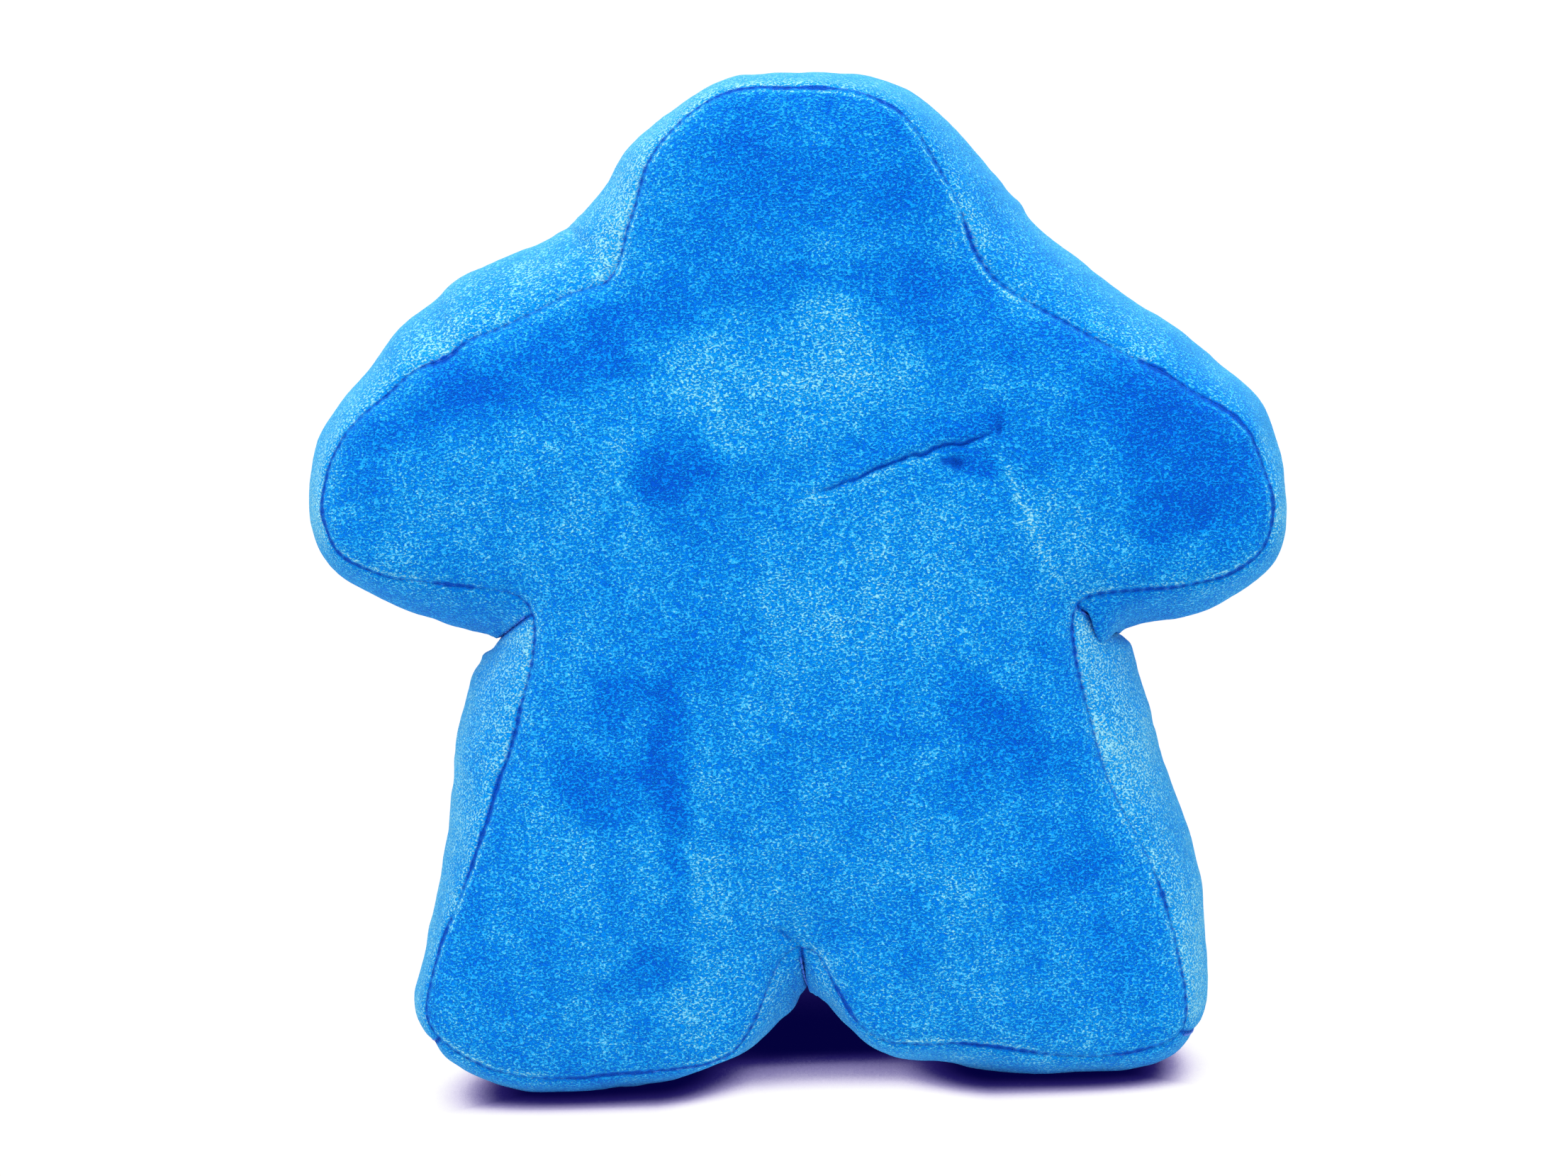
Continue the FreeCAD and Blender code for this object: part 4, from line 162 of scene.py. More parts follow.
# Lines and patches of the front panel: creases, and places where the pile
# lies the other way (x, z, half width, half height, turn, weight); the first patch is painted shade,
# the shadow of the lapped cloth above the right end of the crease.
CREASE = [(3.6, 174.7), (9.4, 176.2), (16.0, 178.1), (22.2, 180.0), (27.9, 182.3), (34.0, 184.0), (41.0, 185.8), (45.6, 186.6), (50.7, 187.9), (55.0, 188.9), (57.4, 190.1)]
BEND = [(57.0, 187.4), (58.3, 180.4), (60.5, 175.5), (62.8, 168.5), (65.5, 162.5), (66.8, 157.5), (69.0, 151.5), (71.2, 145.5)]
LOWLINE = [(22.7, 116.8), (38.6, 120.1), (52.5, 122.9), (66.4, 126.9), (78.4, 131.3)]
CROTCH_FOLD = [(-10.2, 50.7), (-7.9, 48.2), (-5.5, 46.5)]
PATCHES = [
    (49.4, 191.2, 10.0, 3.2, 15, -0.7), (-33.5, 184.5, 9.2, 12.4, 0, -1.1), (-30.9, 175.5, 11.0, 12.0, 0, -0.45), (-20.7, 161.3, 10.0, 10.0, 0, -0.3),
    (-54.1, 94.6, 17.6, 10.4, -8, -0.85), (-67.4, 100.6, 6.8, 11.0, 20, -0.55), (-37.7, 104.4, 6.0, 19.0, 5, -0.9), (-40.0, 78.4, 4.8, 23.0, 3, -0.85),
    (-46.6, 118.7, 15.0, 4.4, 18, -0.6), (-57.4, 122.1, 8.0, 4.4, 0, -0.4), (-50.3, 42.6, 13.2, 6.0, 5, -0.8), (-54.3, 50.8, 8.0, 6.0, 0, -0.3),
    (50.0, 108.8, 14.4, 8.8, -25, -0.85), (58.6, 93.5, 18.0, 8.4, 15, -0.65), (42.5, 118.0, 9.0, 5.2, 0, -0.45), (70.0, 67.2, 13.2, 6.8, 25, -0.6),
    (66.5, 79.3, 8.0, 6.0, 0, -0.4), (13.4, 107.3, 26.0, 4.0, 8, -0.35), (109.6, 184.0, 21.0, 24.0, -20, -1.0), (94.5, 197.4, 18.0, 12.0, -20, -0.7),
    (121.7, 168.9, 10.0, 12.0, 0, -0.5), (101.1, 165.8, 12.0, 8.0, 0, -0.5), (9.7, 268.4, 34.0, 18.0, 0, -0.5), (19.0, 257.3, 18.0, 10.0, 0, -0.35),
    (-14.5, 253.1, 22.0, 20.0, 20, -0.45), (36.2, 250.6, 12.0, 22.0, 0, -0.45), (45.0, 226.9, 12.0, 10.0, 0, -0.4), (8.1, 233.5, 48.0, 6.4, 0, -0.45),
    (-69.5, 214.2, 30.0, 9.2, 22, -0.85), (-41.5, 222.2, 18.0, 8.0, 20, -0.6), (-97.7, 206.1, 12.0, 8.0, 30, -0.5), (-82.1, 201.4, 12.0, 8.0, 0, -0.5),
    (-120.4, 191.3, 6.8, 12.0, 0, -0.55), (-110.1, 196.8, 8.0, 8.0, 0, -0.3), (24.8, 187.8, 24.0, 8.0, 12, -0.5), (59.8, 183.3, 12.0, 7.2, 0, -0.3),
    (49.0, 180.9, 6.8, 4.4, 0, -0.8), (55.8, 191.3, 2.4, 3.2, 0, -1.0), (69.0, 192.7, 10.0, 12.0, 0, -0.35), (51.4, 216.9, 24.0, 8.4, -8, -0.5),
    (67.9, 214.2, 14.0, 10.0, 0, -0.4), (-26.1, 130.8, 12.8, 12.0, 0, -0.5), (-37.4, 144.2, 10.0, 8.0, 0, -0.3), (-101.6, 60.6, 8.0, 14.0, 0, -0.35),
    (-92.7, 38.1, 10.0, 8.0, 0, -0.3), (87.0, 45.5, 10.0, 12.0, 0, -0.35), (80.4, 27.7, 12.0, 6.0, 0, -0.3), (6.0, 50.6, 8.0, 4.0, 0, -0.35),
    (-7.5, 212.8, 27.0, 14.0, 0, 0.6), (-29.9, 218.7, 12.0, 6.0, 0, 0.4), (26.8, 212.2, 16.0, 10.0, 0, 0.35), (24.1, 150.5, 38.0, 18.0, 0, 0.45),
    (-0.2, 134.7, 24.0, 14.0, 0, 0.35), (-85.7, 171.0, 30.0, 10.0, -5, 0.35), (-55.1, 186.4, 14.0, 12.0, 0, 0.25), (-1.4, 64.9, 30.0, 16.0, 0, 0.35),
    (-30.6, 35.8, 16.0, 10.0, 0, 0.3), (52.9, 32.7, 24.0, 8.0, 0, 0.25), (-69.0, 69.5, 12.0, 16.0, 0, 0.3), (36.7, 73.5, 18.0, 12.0, 0, 0.3),
    (85.1, 154.7, 24.0, 8.0, 0, 0.3), (71.6, 159.3, 12.0, 12.0, 0, 0.3), (-99.1, 180.5, 12.0, 12.0, 0, 0.25), (-65.5, 137.4, 12.0, 10.0, 0, 0.2),
    (-1.4, 195.8, 28.0, 12.0, 0, 0.35), (-80.9, 33.6, 18.0, 8.0, 0, 0.2),
]

MM = 0.001
HALF = 39.0
RISE = 13.0
STITCH = 3.35
GROOVE = 1.05
rng = np.random.default_rng(7)


# ------------------------------------------------------------------ noise
def _hash(i, j, k, seed):
    h = (i * 73856093) ^ (j * 19349663) ^ (k * 83492791) ^ (seed * 2654435761)
    h = (h ^ (h >> 13)) * 1274126177
    h = h & 0xFFFFFFFF
    return (h ^ (h >> 16)) & 0xFFFF


def noise(p, scale, seed=0):
    """Smooth value noise in -1..1 at points p (n x 3, millimetres)."""
    q = np.asarray(p, float) / scale
    i = np.floor(q).astype(np.int64)
    f = q - i
    f = f * f * f * (f * (f * 6 - 15) + 10)
    out = np.zeros(len(q))
    for a in (0, 1):
        wx = f[:, 0] if a else 1 - f[:, 0]
        for b in (0, 1):
            wy = f[:, 1] if b else 1 - f[:, 1]
            for c in (0, 1):
                wz = f[:, 2] if c else 1 - f[:, 2]
                out += wx * wy * wz * (_hash(i[:, 0] + a, i[:, 1] + b, i[:, 2] + c, seed) / 32767.5 - 1)
    return out


def fbm(p, scale, seed=0, octaves=3):
    t, a, w = 0.0, 1.0, 0.0
    for k in range(octaves):
        t = t + a * noise(p, scale / 2 ** k, seed + 31 * k)
        w += a
        a *= 0.5
    return t / w


# ---------------------------------------------------------------- outline
def closed_spline(pts, step):
    """Evenly spaced points on a smooth closed curve through pts."""
    p = np.array(pts, float)
    n = len(p)
    a, b, c, d = np.roll(p, 1, 0), p, np.roll(p, -1, 0), np.roll(p, -2, 0)
    t = np.linspace(0, 1, 12, endpoint=False)[:, None, None]
    q = 0.5 * (2 * b + (c - a) * t + (2 * a - 5 * b + 4 * c - d) * t ** 2 + (3 * b - a - 3 * c + d) * t ** 3)
    q = q.transpose(1, 0, 2).reshape(-1, 2)
    seg = np.linalg.norm(np.roll(q, -1, 0) - q, axis=1)
    s = np.concatenate([[0], np.cumsum(seg)])
    m = int(round(s[-1] / step))
    u = np.arange(m) * s[-1] / m
    q = np.vstack([q, q[:1]])
    return np.stack([np.interp(u, s, q[:, 0]), np.interp(u, s, q[:, 1])], 1), s[-1]


OUT, PER = closed_spline(SEAM, 1.0)
NO = len(OUT)
_t = np.roll(OUT, -3, 0) - np.roll(OUT, 3, 0)
_t /= np.linalg.norm(_t, axis=1)[:, None]
OUTN = np.stack([-_t[:, 1], _t[:, 0]], 1)
OUTS = np.arange(NO) * PER / NO


def outline_at(s):
    """Seam point and outward normal at distance s along the seam."""
    u = (np.asarray(s) % PER) / PER * NO
    i = np.floor(u).astype(int) % NO
    f = (u - np.floor(u))[:, None]
    j = (i + 1) % NO
    p = OUT[i] * (1 - f) + OUT[j] * f
    nn = OUTN[i] * (1 - f) + OUTN[j] * f
    return p, nn / np.linalg.norm(nn, axis=1)[:, None]


def nearest(p):
    """Distance to the seam outline and the distance along it."""
    d = np.empty(len(p))
    s = np.empty(len(p))
    for a in range(0, len(p), 4000):
        q = p[a:a + 4000]
        e = (q[:, None, 0] - OUT[None, :, 0]) ** 2 + (q[:, None, 1] - OUT[None, :, 1]) ** 2
        i = e.argmin(1)
        # refine between neighbours
        tang = np.stack([OUTN[i, 1], -OUTN[i, 0]], 1)
        along = ((q - OUT[i]) * tang).sum(1)
        d[a:a + 4000] = np.sqrt(np.maximum(e[np.arange(len(q)), i] - np.clip(along, -0.6, 0.6) ** 2, 0))
        s[a:a + 4000] = OUTS[i] + np.clip(along, -0.6, 0.6)
    return d, s % PER


def inside(p, grow=0.0):
    x, y = OUT[:, 0], OUT[:, 1]
    x2, y2 = np.roll(x, -1), np.roll(y, -1)
    c = np.zeros(len(p), bool)
    for a, b, a2, b2 in zip(x, y, x2, y2):
        if b == b2:
            continue
        k = ((b > p[:, 1]) != (b2 > p[:, 1])) & (p[:, 0] < (a2 - a) * (p[:, 1] - b) / (b2 - b) + a)
        c ^= k
    return c


# ------------------------------------------------------------------- dome
def _basis(knots, x):
    t = np.array([knots[0]] * 3 + list(knots) + [knots[-1]] * 3, float)
    x = np.clip(x, t[0], t[-1] - 1e-6)
    n = len(t) - 4
    k = np.clip(np.searchsorted(t, x, side="right") - 1, 3, n - 1)
    b = np.zeros((len(x), 4))
    b[:, 0] = 1.0
    for d in range(1, 4):
        old = b.copy()
        b[:] = 0
        for r in range(d):
            lo, hi = t[k - d + 1 + r], t[k + 1 + r]
            w = old[:, r] / np.where(hi > lo, hi - lo, 1)
            b[:, r] += w * (hi - x)
            b[:, r + 1] += w * (x - lo)
    return k - 3, b


def dome(p):
    A = np.array(DOME)
    iu, bu = _basis(DOME_KX, p[:, 0])
    iv, bv = _basis(DOME_KZ, p[:, 1])
    out = np.zeros(len(p))
    for a in range(4):
        for b in range(4):
            out += bu[:, a] * bv[:, b] * A[iu + a, iv + b]
    return out


def polyline(p, pts):
    """Signed distance to a polyline (positive above it) and the share of its
    length at the nearest point, running past 0 and 1 beyond its ends."""
    pts = np.array(pts, float)
    seg = np.linalg.norm(np.diff(pts, axis=0), axis=1)
    cum = np.concatenate([[0], np.cumsum(seg)])
    best = np.full(len(p), 1e9)
    side = np.zeros(len(p))
    run = np.zeros(len(p))
    for i in range(len(seg)):
        a, v = pts[i], (pts[i + 1] - pts[i]) / seg[i]
        w = p - a
        t = w @ v
        tc = np.clip(t, 0, seg[i])
        e = np.linalg.norm(w - tc[:, None] * v, axis=1)
        k = e < best
        best = np.where(k, e, best)
        side = np.where(k, v[0] * w[:, 1] - v[1] * w[:, 0], side)
        run = np.where(k, (cum[i] + tc) / cum[-1], run)
    return best, side, run


def bell(x):
    return np.exp(-x * x)


def stitch_wave(s):
    """0 between stitches, 1 where the needle pulls the cloth in."""
    return 0.5 + 0.5 * np.cos(2 * np.pi * s / (PER / round(PER / STITCH)))


def seam_dip(d, s, seed):
    """How far the cloth sinks toward the seam at distance d from it."""
    q = np.stack([s, d * 0 + seed * 50.0, d * 0], 1)
    loose = 0.75 + 0.35 * noise(q, 9.0, 3 + seed)
    dip = GROOVE * np.exp(-(d / 1.3) ** 2) * (0.8 + 0.35 * stitch_wave(s)) + 0.45 * np.exp(-(d / 3.4) ** 2)
    # gathers that run square to the seam
    q2 = np.stack([s, d * 0.25, d * 0 + seed * 11.0], 1)
    gather = fbm(q2, 7.0, 17 + seed, 2) * 0.55 * np.exp(-((d - 2.0) / 5.0) ** 2)
    q3 = np.stack([s, d * 0.12, d * 0 + seed * 23.0], 1)
    pull = noise(q3, 17.0, 29 + seed) * 0.8 * np.exp(-((d - 6.0) / 11.0) ** 2)
    return dip * loose - gather - pull * 0.6


def settle(q):
    """The front edge of the feet sags a little under the weight."""
    q = np.array(q, float)
    front = np.clip(-q[:, 1] / HALF, 0, 1)
    q[:, 2] -= 1.7 * front * np.exp(-((q[:, 2] - 10.0) / 13.0) ** 2)
    return q


def sole(q):
    """The sole leans up toward the front; it bears on its rear half."""
    low = np.maximum(0.0, 4.6 - 0.075 * (q[:, 1] + HALF))
    q = q.copy()
    q[:, 2] = low + soft_floor(q[:, 2] - low)
    return q


# ------------------------------------------------------------ mesh making
def closed_shell(name, outer, faces, inner):
    """One closed mesh from an outer sheet, its faces, and matching inner
    points; the rim is closed with a band."""
    n = len(outer)
    edge = {}
    for f in faces:
        for a, b in zip(f, f[1:] + f[:1]):
            edge[(a, b)] = edge.get((a, b), 0) + 1
    rim = [(a, b) for (a, b) in edge if (b, a) not in edge]
    allf = [list(f) for f in faces] + [[i + n for i in reversed(f)] for f in faces]
    allf += [[b, a, a + n, b + n] for a, b in rim]
    me = bpy.data.meshes.new(name)
    co = np.vstack([outer, inner])
    if "label" not in name:
        co = settle(co)
        co[:, 2] = np.maximum(co[:, 2], 0.02)
    co = co * MM
    me.from_pydata(co.tolist(), [], allf)
    me.update()
    me.shade_smooth()
    o = bpy.data.objects.new(name, me)
    bpy.context.scene.collection.objects.link(o)
    return o


def add_attr(o, name, values):
    n = len(values)
    at = o.data.attributes.new(name, "FLOAT", "POINT")
    at.data.foreach_set("value", np.concatenate([values, values]).astype(np.float32))


# ------------------------------------------------------------- the panels
def panel_points():
    step = 1.55
    rings = []
    for d in (0.5, 1.05, 1.7, 2.5, 3.4):
        q = OUT - OUTN * d
        dd, _ = nearest(q)
        keep = (dd > d - 0.12) & inside(q)
        rings.append(q[keep])
    fold = []
    for line in (CREASE, BEND, CROTCH_FOLD):
        q = np.array(line, float)
        cum = np.concatenate([[0], np.cumsum(np.linalg.norm(np.diff(q, axis=0), axis=1))])
        u = np.arange(-1.5, cum[-1] + 1.5, 0.6)
        mid = np.stack([np.interp(u, cum, q[:, 0]), np.interp(u, cum, q[:, 1])], 1)
        mid += (u - np.clip(u, 0, cum[-1]))[:, None] * np.array([0.9, 0.3])
        tg = np.gradient(mid, axis=0)
        tg /= np.linalg.norm(tg, axis=1)[:, None] + 1e-9
        nn = np.stack([-tg[:, 1], tg[:, 0]], 1)
        for off in (-2.6, -1.8, -1.15, -0.6, -0.15, 0.3, 0.85, 1.5, 2.3):
            fold.append(mid + nn * off)
    fold = np.vstack(fold)
    dd, _ = nearest(fold)
    fold = fold[(dd > 3.8) & inside(fold)]
    # keep a minimum spacing
    kept = []
    cells = {}
    for v in fold:
        c = (int(v[0] // 0.45), int(v[1] // 0.45))
        if any((c[0] + a, c[1] + b) in cells and np.hypot(*(cells[(c[0] + a, c[1] + b)] - v)) < 0.4
               for a in (-1, 0, 1) for b in (-1, 0, 1)):
            continue
        cells[c] = v
        kept.append(v)
    fold = np.array(kept)
    lo, hi = OUT.min(0), OUT.max(0)
    xs = np.arange(lo[0], hi[0], step)
    zs = np.arange(lo[1], hi[1], step * math.sqrt(3) / 2)
    X, Z = np.meshgrid(xs, zs, indexing="ij")
    X = X + (np.arange(len(zs)) % 2)[None, :] * step / 2
    g = np.stack([X.ravel(), Z.ravel()], 1)
    g += rng.uniform(-0.12, 0.12, g.shape)
    g = g[inside(g)]
    dd, _ = nearest(g)
    g = g[dd > 4.3]
    near = np.zeros(len(g), bool)
    for line in (CREASE, BEND, CROTCH_FOLD):
        near |= polyline(g, line)[0] < 3.0
    g = g[~near]
    return np.vstack([OUT] + rings + [fold, g])


PP = panel_points()
_r = delaunay_2d_cdt([Vector(v) for v in PP.tolist()], [], [list(range(NO))], 1, 1e-5)
PV = np.array([tuple(v) for v in _r[0]])
PF = [list(f) for f in _r[2]]


def nap_and_shade_patches(p):
    """Where the pile of the front panel is brushed the other way; the first patch is painted shade above the right end
    of the crease.
    """
    w = np.stack([p[:, 0], p[:, 0] * 0, p[:, 1]], 1)
    jx = fbm(w, 14.0, 101, 3) * 6.5
    jz = fbm(w, 14.0, 202, 3) * 6.5
    v = np.zeros(len(p))
    for x, z, a, b, rot, wt in PATCHES:
        r = math.radians(rot)
        dx, dz = p[:, 0] + jx - x, p[:, 1] + jz - z
        u1 = (dx * math.cos(r) + dz * math.sin(r)) / a
        u2 = (-dx * math.sin(r) + dz * math.cos(r)) / b
        e = np.sqrt(u1 * u1 + u2 * u2)
        soft = 0.32 if wt < 0 else 0.5
        v += (wt if wt < 0 else 0.72 * wt) / (1 + np.exp(np.minimum((e - 1.0) / (soft * 0.45), 60)))
    return v


def ragged(p):
    """Points nudged a little, so that a fold does not run as a clean curve."""
    w = np.stack([p[:, 0], p[:, 0] * 0, p[:, 1]], 1)
    return p + np.stack([noise(w, 3.2, 951), noise(w, 3.6, 952)], 1) * 0.75


def front_relief(p, h):
    """Creases and dents of the front panel, outward positive, millimetres."""
    out = np.zeros(len(p))
    e, side, run = polyline(ragged(p), CREASE)
    deep = np.interp(run, [0, 0.12, 0.4, 0.8, 0.96, 1.0], [0.25, 0.6, 0.95, 1.0, 0.6, 0.2])
    up = side > 0
    # the cloth above laps a little over the cloth below
    out += deep * (-1.35 * bell(e / 0.85) + np.where(up, 0.75 * bell((e - 2.6) / 2.6), 0.1 * bell((e - 3.0) / 3.0)))
    e, side, run = polyline(p, BEND)
    deep = np.interp(run, [0, 0.2, 0.8, 1.0], [0.25, 0.6, 0.6, 0.15])
    out += deep * (0.75 * bell(e / 2.2) - 0.4 * np.where(side > 0, bell((e - 2.6) / 1.8), 0))
    e, side, run = polyline(p, LOWLINE)
    out += -0.28 * bell(e / 1.4) * np.interp(run, [0, 0.2, 0.8, 1], [0.1, 1, 1, 0.2])
    e, side, run = polyline(p, CROTCH_FOLD)
    out += -1.0 * bell(e / 1.3) + 0.4 * bell((e - 2.6) / 1.6)
    for x, z, a, b, depth in DENTS:
        out -= depth * bell(np.hypot((p[:, 0] - x) / a, (p[:, 1] - z) / b))
    return out


def front_crevice(p):
    """Depth of shade in creases and dents of the front panel, 0 to 1."""
    w = np.stack([p[:, 0], p[:, 0] * 0, p[:, 1]], 1)
    rag = 0.75 + 0.4 * noise(w, 1.6, 901)
    e, side, run = polyline(ragged(p), CREASE)
    deep = np.interp(run, [0, 0.1, 0.35, 0.55, 0.8, 0.96, 1.0], [0.35, 0.6, 0.95, 0.8, 1.0, 0.6, 0.0])
    k = deep * bell(e / (0.85 * rag))
    e, side, run = polyline(p, BEND)
    k = np.maximum(k, 0.22 * bell((e - 0.9) / 0.6) * (side > 0) * np.interp(run, [0, 0.15, 0.9, 1], [0, 1, 1, 0]))
    e, side, run = polyline(ragged(p), LOWLINE)
    k = np.maximum(k, 0.24 * bell(e / 0.7) * np.interp(run, [0, 0.3, 0.8, 1], [0, 1, 1, 0]))
    e, side, run = polyline(p, CROTCH_FOLD)
    k = np.maximum(k, 0.6 * bell(e / 0.8))
    for x, z, a, b, depth in DENTS:
        q = np.hypot((p[:, 0] - x) / a, (p[:, 1] - z) / b)
        k = np.maximum(k, min(0.75, depth * 0.6) / (1 + np.exp(np.minimum((q - 0.85) * 9, 60))))
    return np.clip(k, 0, 1)


def seam_crevice(d, s, seed):
    """Shade in the furry groove of a seam, broken at every stitch."""
    q = np.stack([s, d * 0.5, d * 0 + seed * 40.0], 1)
    rag = 0.85 + 0.45 * noise(q, 1.7, 911 + seed)
    some = 0.50 + 0.50 * noise(q * [1, 0, 1], 11.0, 921 + seed) + 0.34 * stitch_wave(s)
    return np.clip(some * bell(np.maximum(d - 0.2, 0) / (1.25 * rag)), 0, 1)


DENTS = [(CREASE[-1][0] - 0.2, CREASE[-1][1] - 0.4, 1.0, 2.4, 0.9),
         (CREASE[7][0] - 2.6, CREASE[7][1] - 4.6, 3.8, 1.7, 1.2),
         (CREASE[7][0] - 0.2, CREASE[7][1] - 5.6, 2.0, 2.3, 1.7),
         (CREASE[-1][0] + 11.5, CREASE[-1][1] + 3.4, 2.0, 0.9, 0.35)]


def painted_lip_highlights(p, d, s):
    """Painted highlight on pile that stands on the lip of the seam, on the bend and just under the crease, where it
    catches light.
    """
    q = np.stack([s, d * 0, d * 0], 1)
    lip = bell((d - 1.6) / 0.6) * np.clip(0.30 + 0.95 * noise(q, 13.0, 961) + 0.3 * noise(q, 2.4, 962), 0, 1.2)
    e, side, run = polyline(ragged(p), BEND)
    bend = (0.5 * bell(e / 2.2) + 0.6 * bell(e / 0.6)) * np.interp(run, [0, 0.15, 0.8, 1], [0.3, 1, 0.8, 0])
    e, side, run = polyline(ragged(p), CREASE)
    under = np.where(side < 0, bell((e - 1.9) / 0.8), 0) * 0.6
    return 1.3 * lip + 1.2 * bend + under


def make_panel(name, sign, seed):
    d, s = nearest(PV)
    on = np.zeros(len(PV), bool)
    on[:NO] = True
    d[on] = 0.0
    h = RISE * dome(PV)
    # a fuller rise close to the seam
    w = np.stack([PV[:, 0], np.full(len(PV), 40.0 * sign), PV[:, 1]], 1)
    h = h + 0.9 * fbm(w, 46.0, 11 + seed, 2) * (1 - np.exp(-d / 14.0)) \
        + 0.28 * fbm(w, 13.0, 41 + seed, 2) * (1 - np.exp(-d / 5.0))
    if sign < 0:
        h = h + front_relief(PV, h)
    dip = seam_dip(d, s, seed)
    sp, sn = outline_at(s)
    # the cloth near the seam sinks inward and a little toward the middle
    mix = np.exp(-d / 4.0)
    y = sign * (HALF + h) - sign * dip * (0.82 * mix + 1.0 * (1 - mix))
    xz = PV - sn * (dip * 0.45 * mix)[:, None]
    fine = fbm(w, 2.6, 77 + seed, 2) * 0.10 * (1 - np.exp(-d / 2.0))
    outer = np.stack([xz[:, 0], y + sign * fine, xz[:, 1]], 1)
    inner = outer.copy()
    inner[:, 1] -= sign * 1.6
    shrink = np.exp(-d / 2.5)[:, None] * 0.8
    inner[:, [0, 2]] -= sn * shrink
    F = PF if sign > 0 else [list(reversed(f)) for f in PF]
    # facing test on one triangle
    a, b, c = (outer[i] for i in F[len(F) // 2][:3])
    if np.cross(b - a, c - a)[1] * sign < 0:
        F = [list(reversed(f)) for f in F]
    o = closed_shell(name, outer, F, inner)
    nap_and_painted_light = nap_and_shade_patches(PV) + painted_lip_highlights(PV, d, s) if sign < 0 else 0.75 * fbm(w, 60.0, 501, 3) + 0.25 * fbm(w, 24.0, 555, 3)
    add_attr(o, "nap_and_painted_light", nap_and_painted_light)
    crev = seam_crevice(d, s, seed)
    if sign < 0:
        crev = np.maximum(crev, front_crevice(PV))
    add_attr(o, "crevice", crev)
    # weak painted rim sheen on the panels; it also scales the sheen weight
    add_attr(o, "rim", np.full(len(PV), 0.18))
    return o


# ------------------------------------------------------------- the gusset
ST = np.array(STATIONS)


def smooth_interp(x, xp, fp):
    """Monotone cubic through the stations."""
    h = np.diff(xp)
    m = np.diff(fp) / h
    t = np.zeros(len(xp))
    t[0], t[-1] = m[0], m[-1]
    for i in range(1, len(xp) - 1):
        if m[i - 1] * m[i] > 0:
            w1, w2 = 2 * h[i] + h[i - 1], h[i] + 2 * h[i - 1]
            t[i] = (w1 + w2) / (w1 / m[i - 1] + w2 / m[i])
    k = np.clip(np.searchsorted(xp, x) - 1, 0, len(h) - 1)
    u = (x - xp[k]) / h[k]
    return ((2 * u ** 3 - 3 * u ** 2 + 1) * fp[k] + (u ** 3 - 2 * u ** 2 + u) * h[k] * t[k]
            + (-2 * u ** 3 + 3 * u ** 2) * fp[k + 1] + (u ** 3 - u ** 2) * h[k] * t[k + 1])


def gusset_grid(s0, s1, rows=62):
    ns = int(round((s1 - s0) / 1.1)) + 1
    s = np.linspace(s0, s1, ns)
    v = np.linspace(0, 1, rows)
    t = 0.55 * v + 0.45 * (0.5 - 0.5 * np.cos(np.pi * v))
    p, _ = outline_at(s)
    ang = np.radians(smooth_interp(s, ST[:, 0], ST[:, 1]))
    b = smooth_interp(s, ST[:, 0], ST[:, 2])
    dirs = np.stack([np.cos(ang), np.sin(ang)], 1)
    e = HALF
    R = (e * e + b * b) / (2 * b)
    half = np.arcsin(np.clip(e / R, 0, 1))
    phi = (2 * t - 1)[None, :] * half[:, None]
    y = R[:, None] * np.sin(phi)
    out = R[:, None] * np.cos(phi) - (R - b)[:, None]
    P = np.empty((ns, rows, 3))
    P[:, :, 0] = p[:, None, 0] + dirs[:, None, 0] * out
    P[:, :, 1] = y
    P[:, :, 2] = p[:, None, 1] + dirs[:, None, 1] * out
    arc = R[:, None] * (phi + half[:, None])
    full = 2 * (R * half)[:, None]
    return s, P, arc, full - arc, dirs, b


def grid_normals(P):
    du = np.gradient(P, axis=0)
    dv = np.gradient(P, axis=1)
    n = np.cross(du, dv)
    n /= np.linalg.norm(n, axis=2)[:, :, None] + 1e-9
    return n


CUTS = [844.7, 1374.0, 1500.2, 1623.6, 1748.2, 1876.4]


def soft_floor(z, lift=0.0):
    e = 1.2
    return 0.5 * (z + np.sqrt(z * z + e * e)) - 0.5 * e * np.exp(-np.abs(z) / 2.0) + lift


def unfold(P, s):
    """Irons out lengths of the strip that cross themselves in tight inside
    corners of the outline."""
    p, n = outline_at(s)
    tang = np.stack([n[:, 1], np.zeros(len(s)), -n[:, 0]], 1)
    ds = s[1] - s[0]
    for it in range(260):
        step = np.diff(P, axis=0)
        run = (step * 0.5 * (tang[:-1] + tang[1:])[:, None, :]).sum(2) / ds
        bad = run < 0.22
        if not bad.any():
            break
        flag = np.zeros(P.shape[:2], bool)
        flag[:-1] |= bad
        flag[1:] |= bad
        for k in range(3):
            g = flag.copy()
            g[:-1] |= flag[1:]
            g[1:] |= flag[:-1]
            g[:, :-1] |= flag[:, 1:]
            g[:, 1:] |= flag[:, :-1]
            flag = g
        flag[0] = flag[-1] = False
        flag[:, 0] = flag[:, -1] = False
        avg = P.copy()
        avg[1:-1] = 0.5 * (P[:-2] + P[2:])
        P = np.where(flag[:, :, None], P * 0.4 + avg * 0.6, P)
    return P


def relax(P, s, mid, reach, turns=70):
    """Lets the strip bridge an inside corner of the outline in one soft curve."""
    w = np.exp(-((s - mid) / reach) ** 4)[:, None] * np.sin(np.pi * np.linspace(0, 1, P.shape[1])) ** 0.7
    w = w[:, :, None]
    for it in range(turns):
        avg = P.copy()
        avg[1:-1] = 0.25 * P[:-2] + 0.5 * P[1:-1] + 0.25 * P[2:]
        P = P * (1 - w) + avg * w
    return P


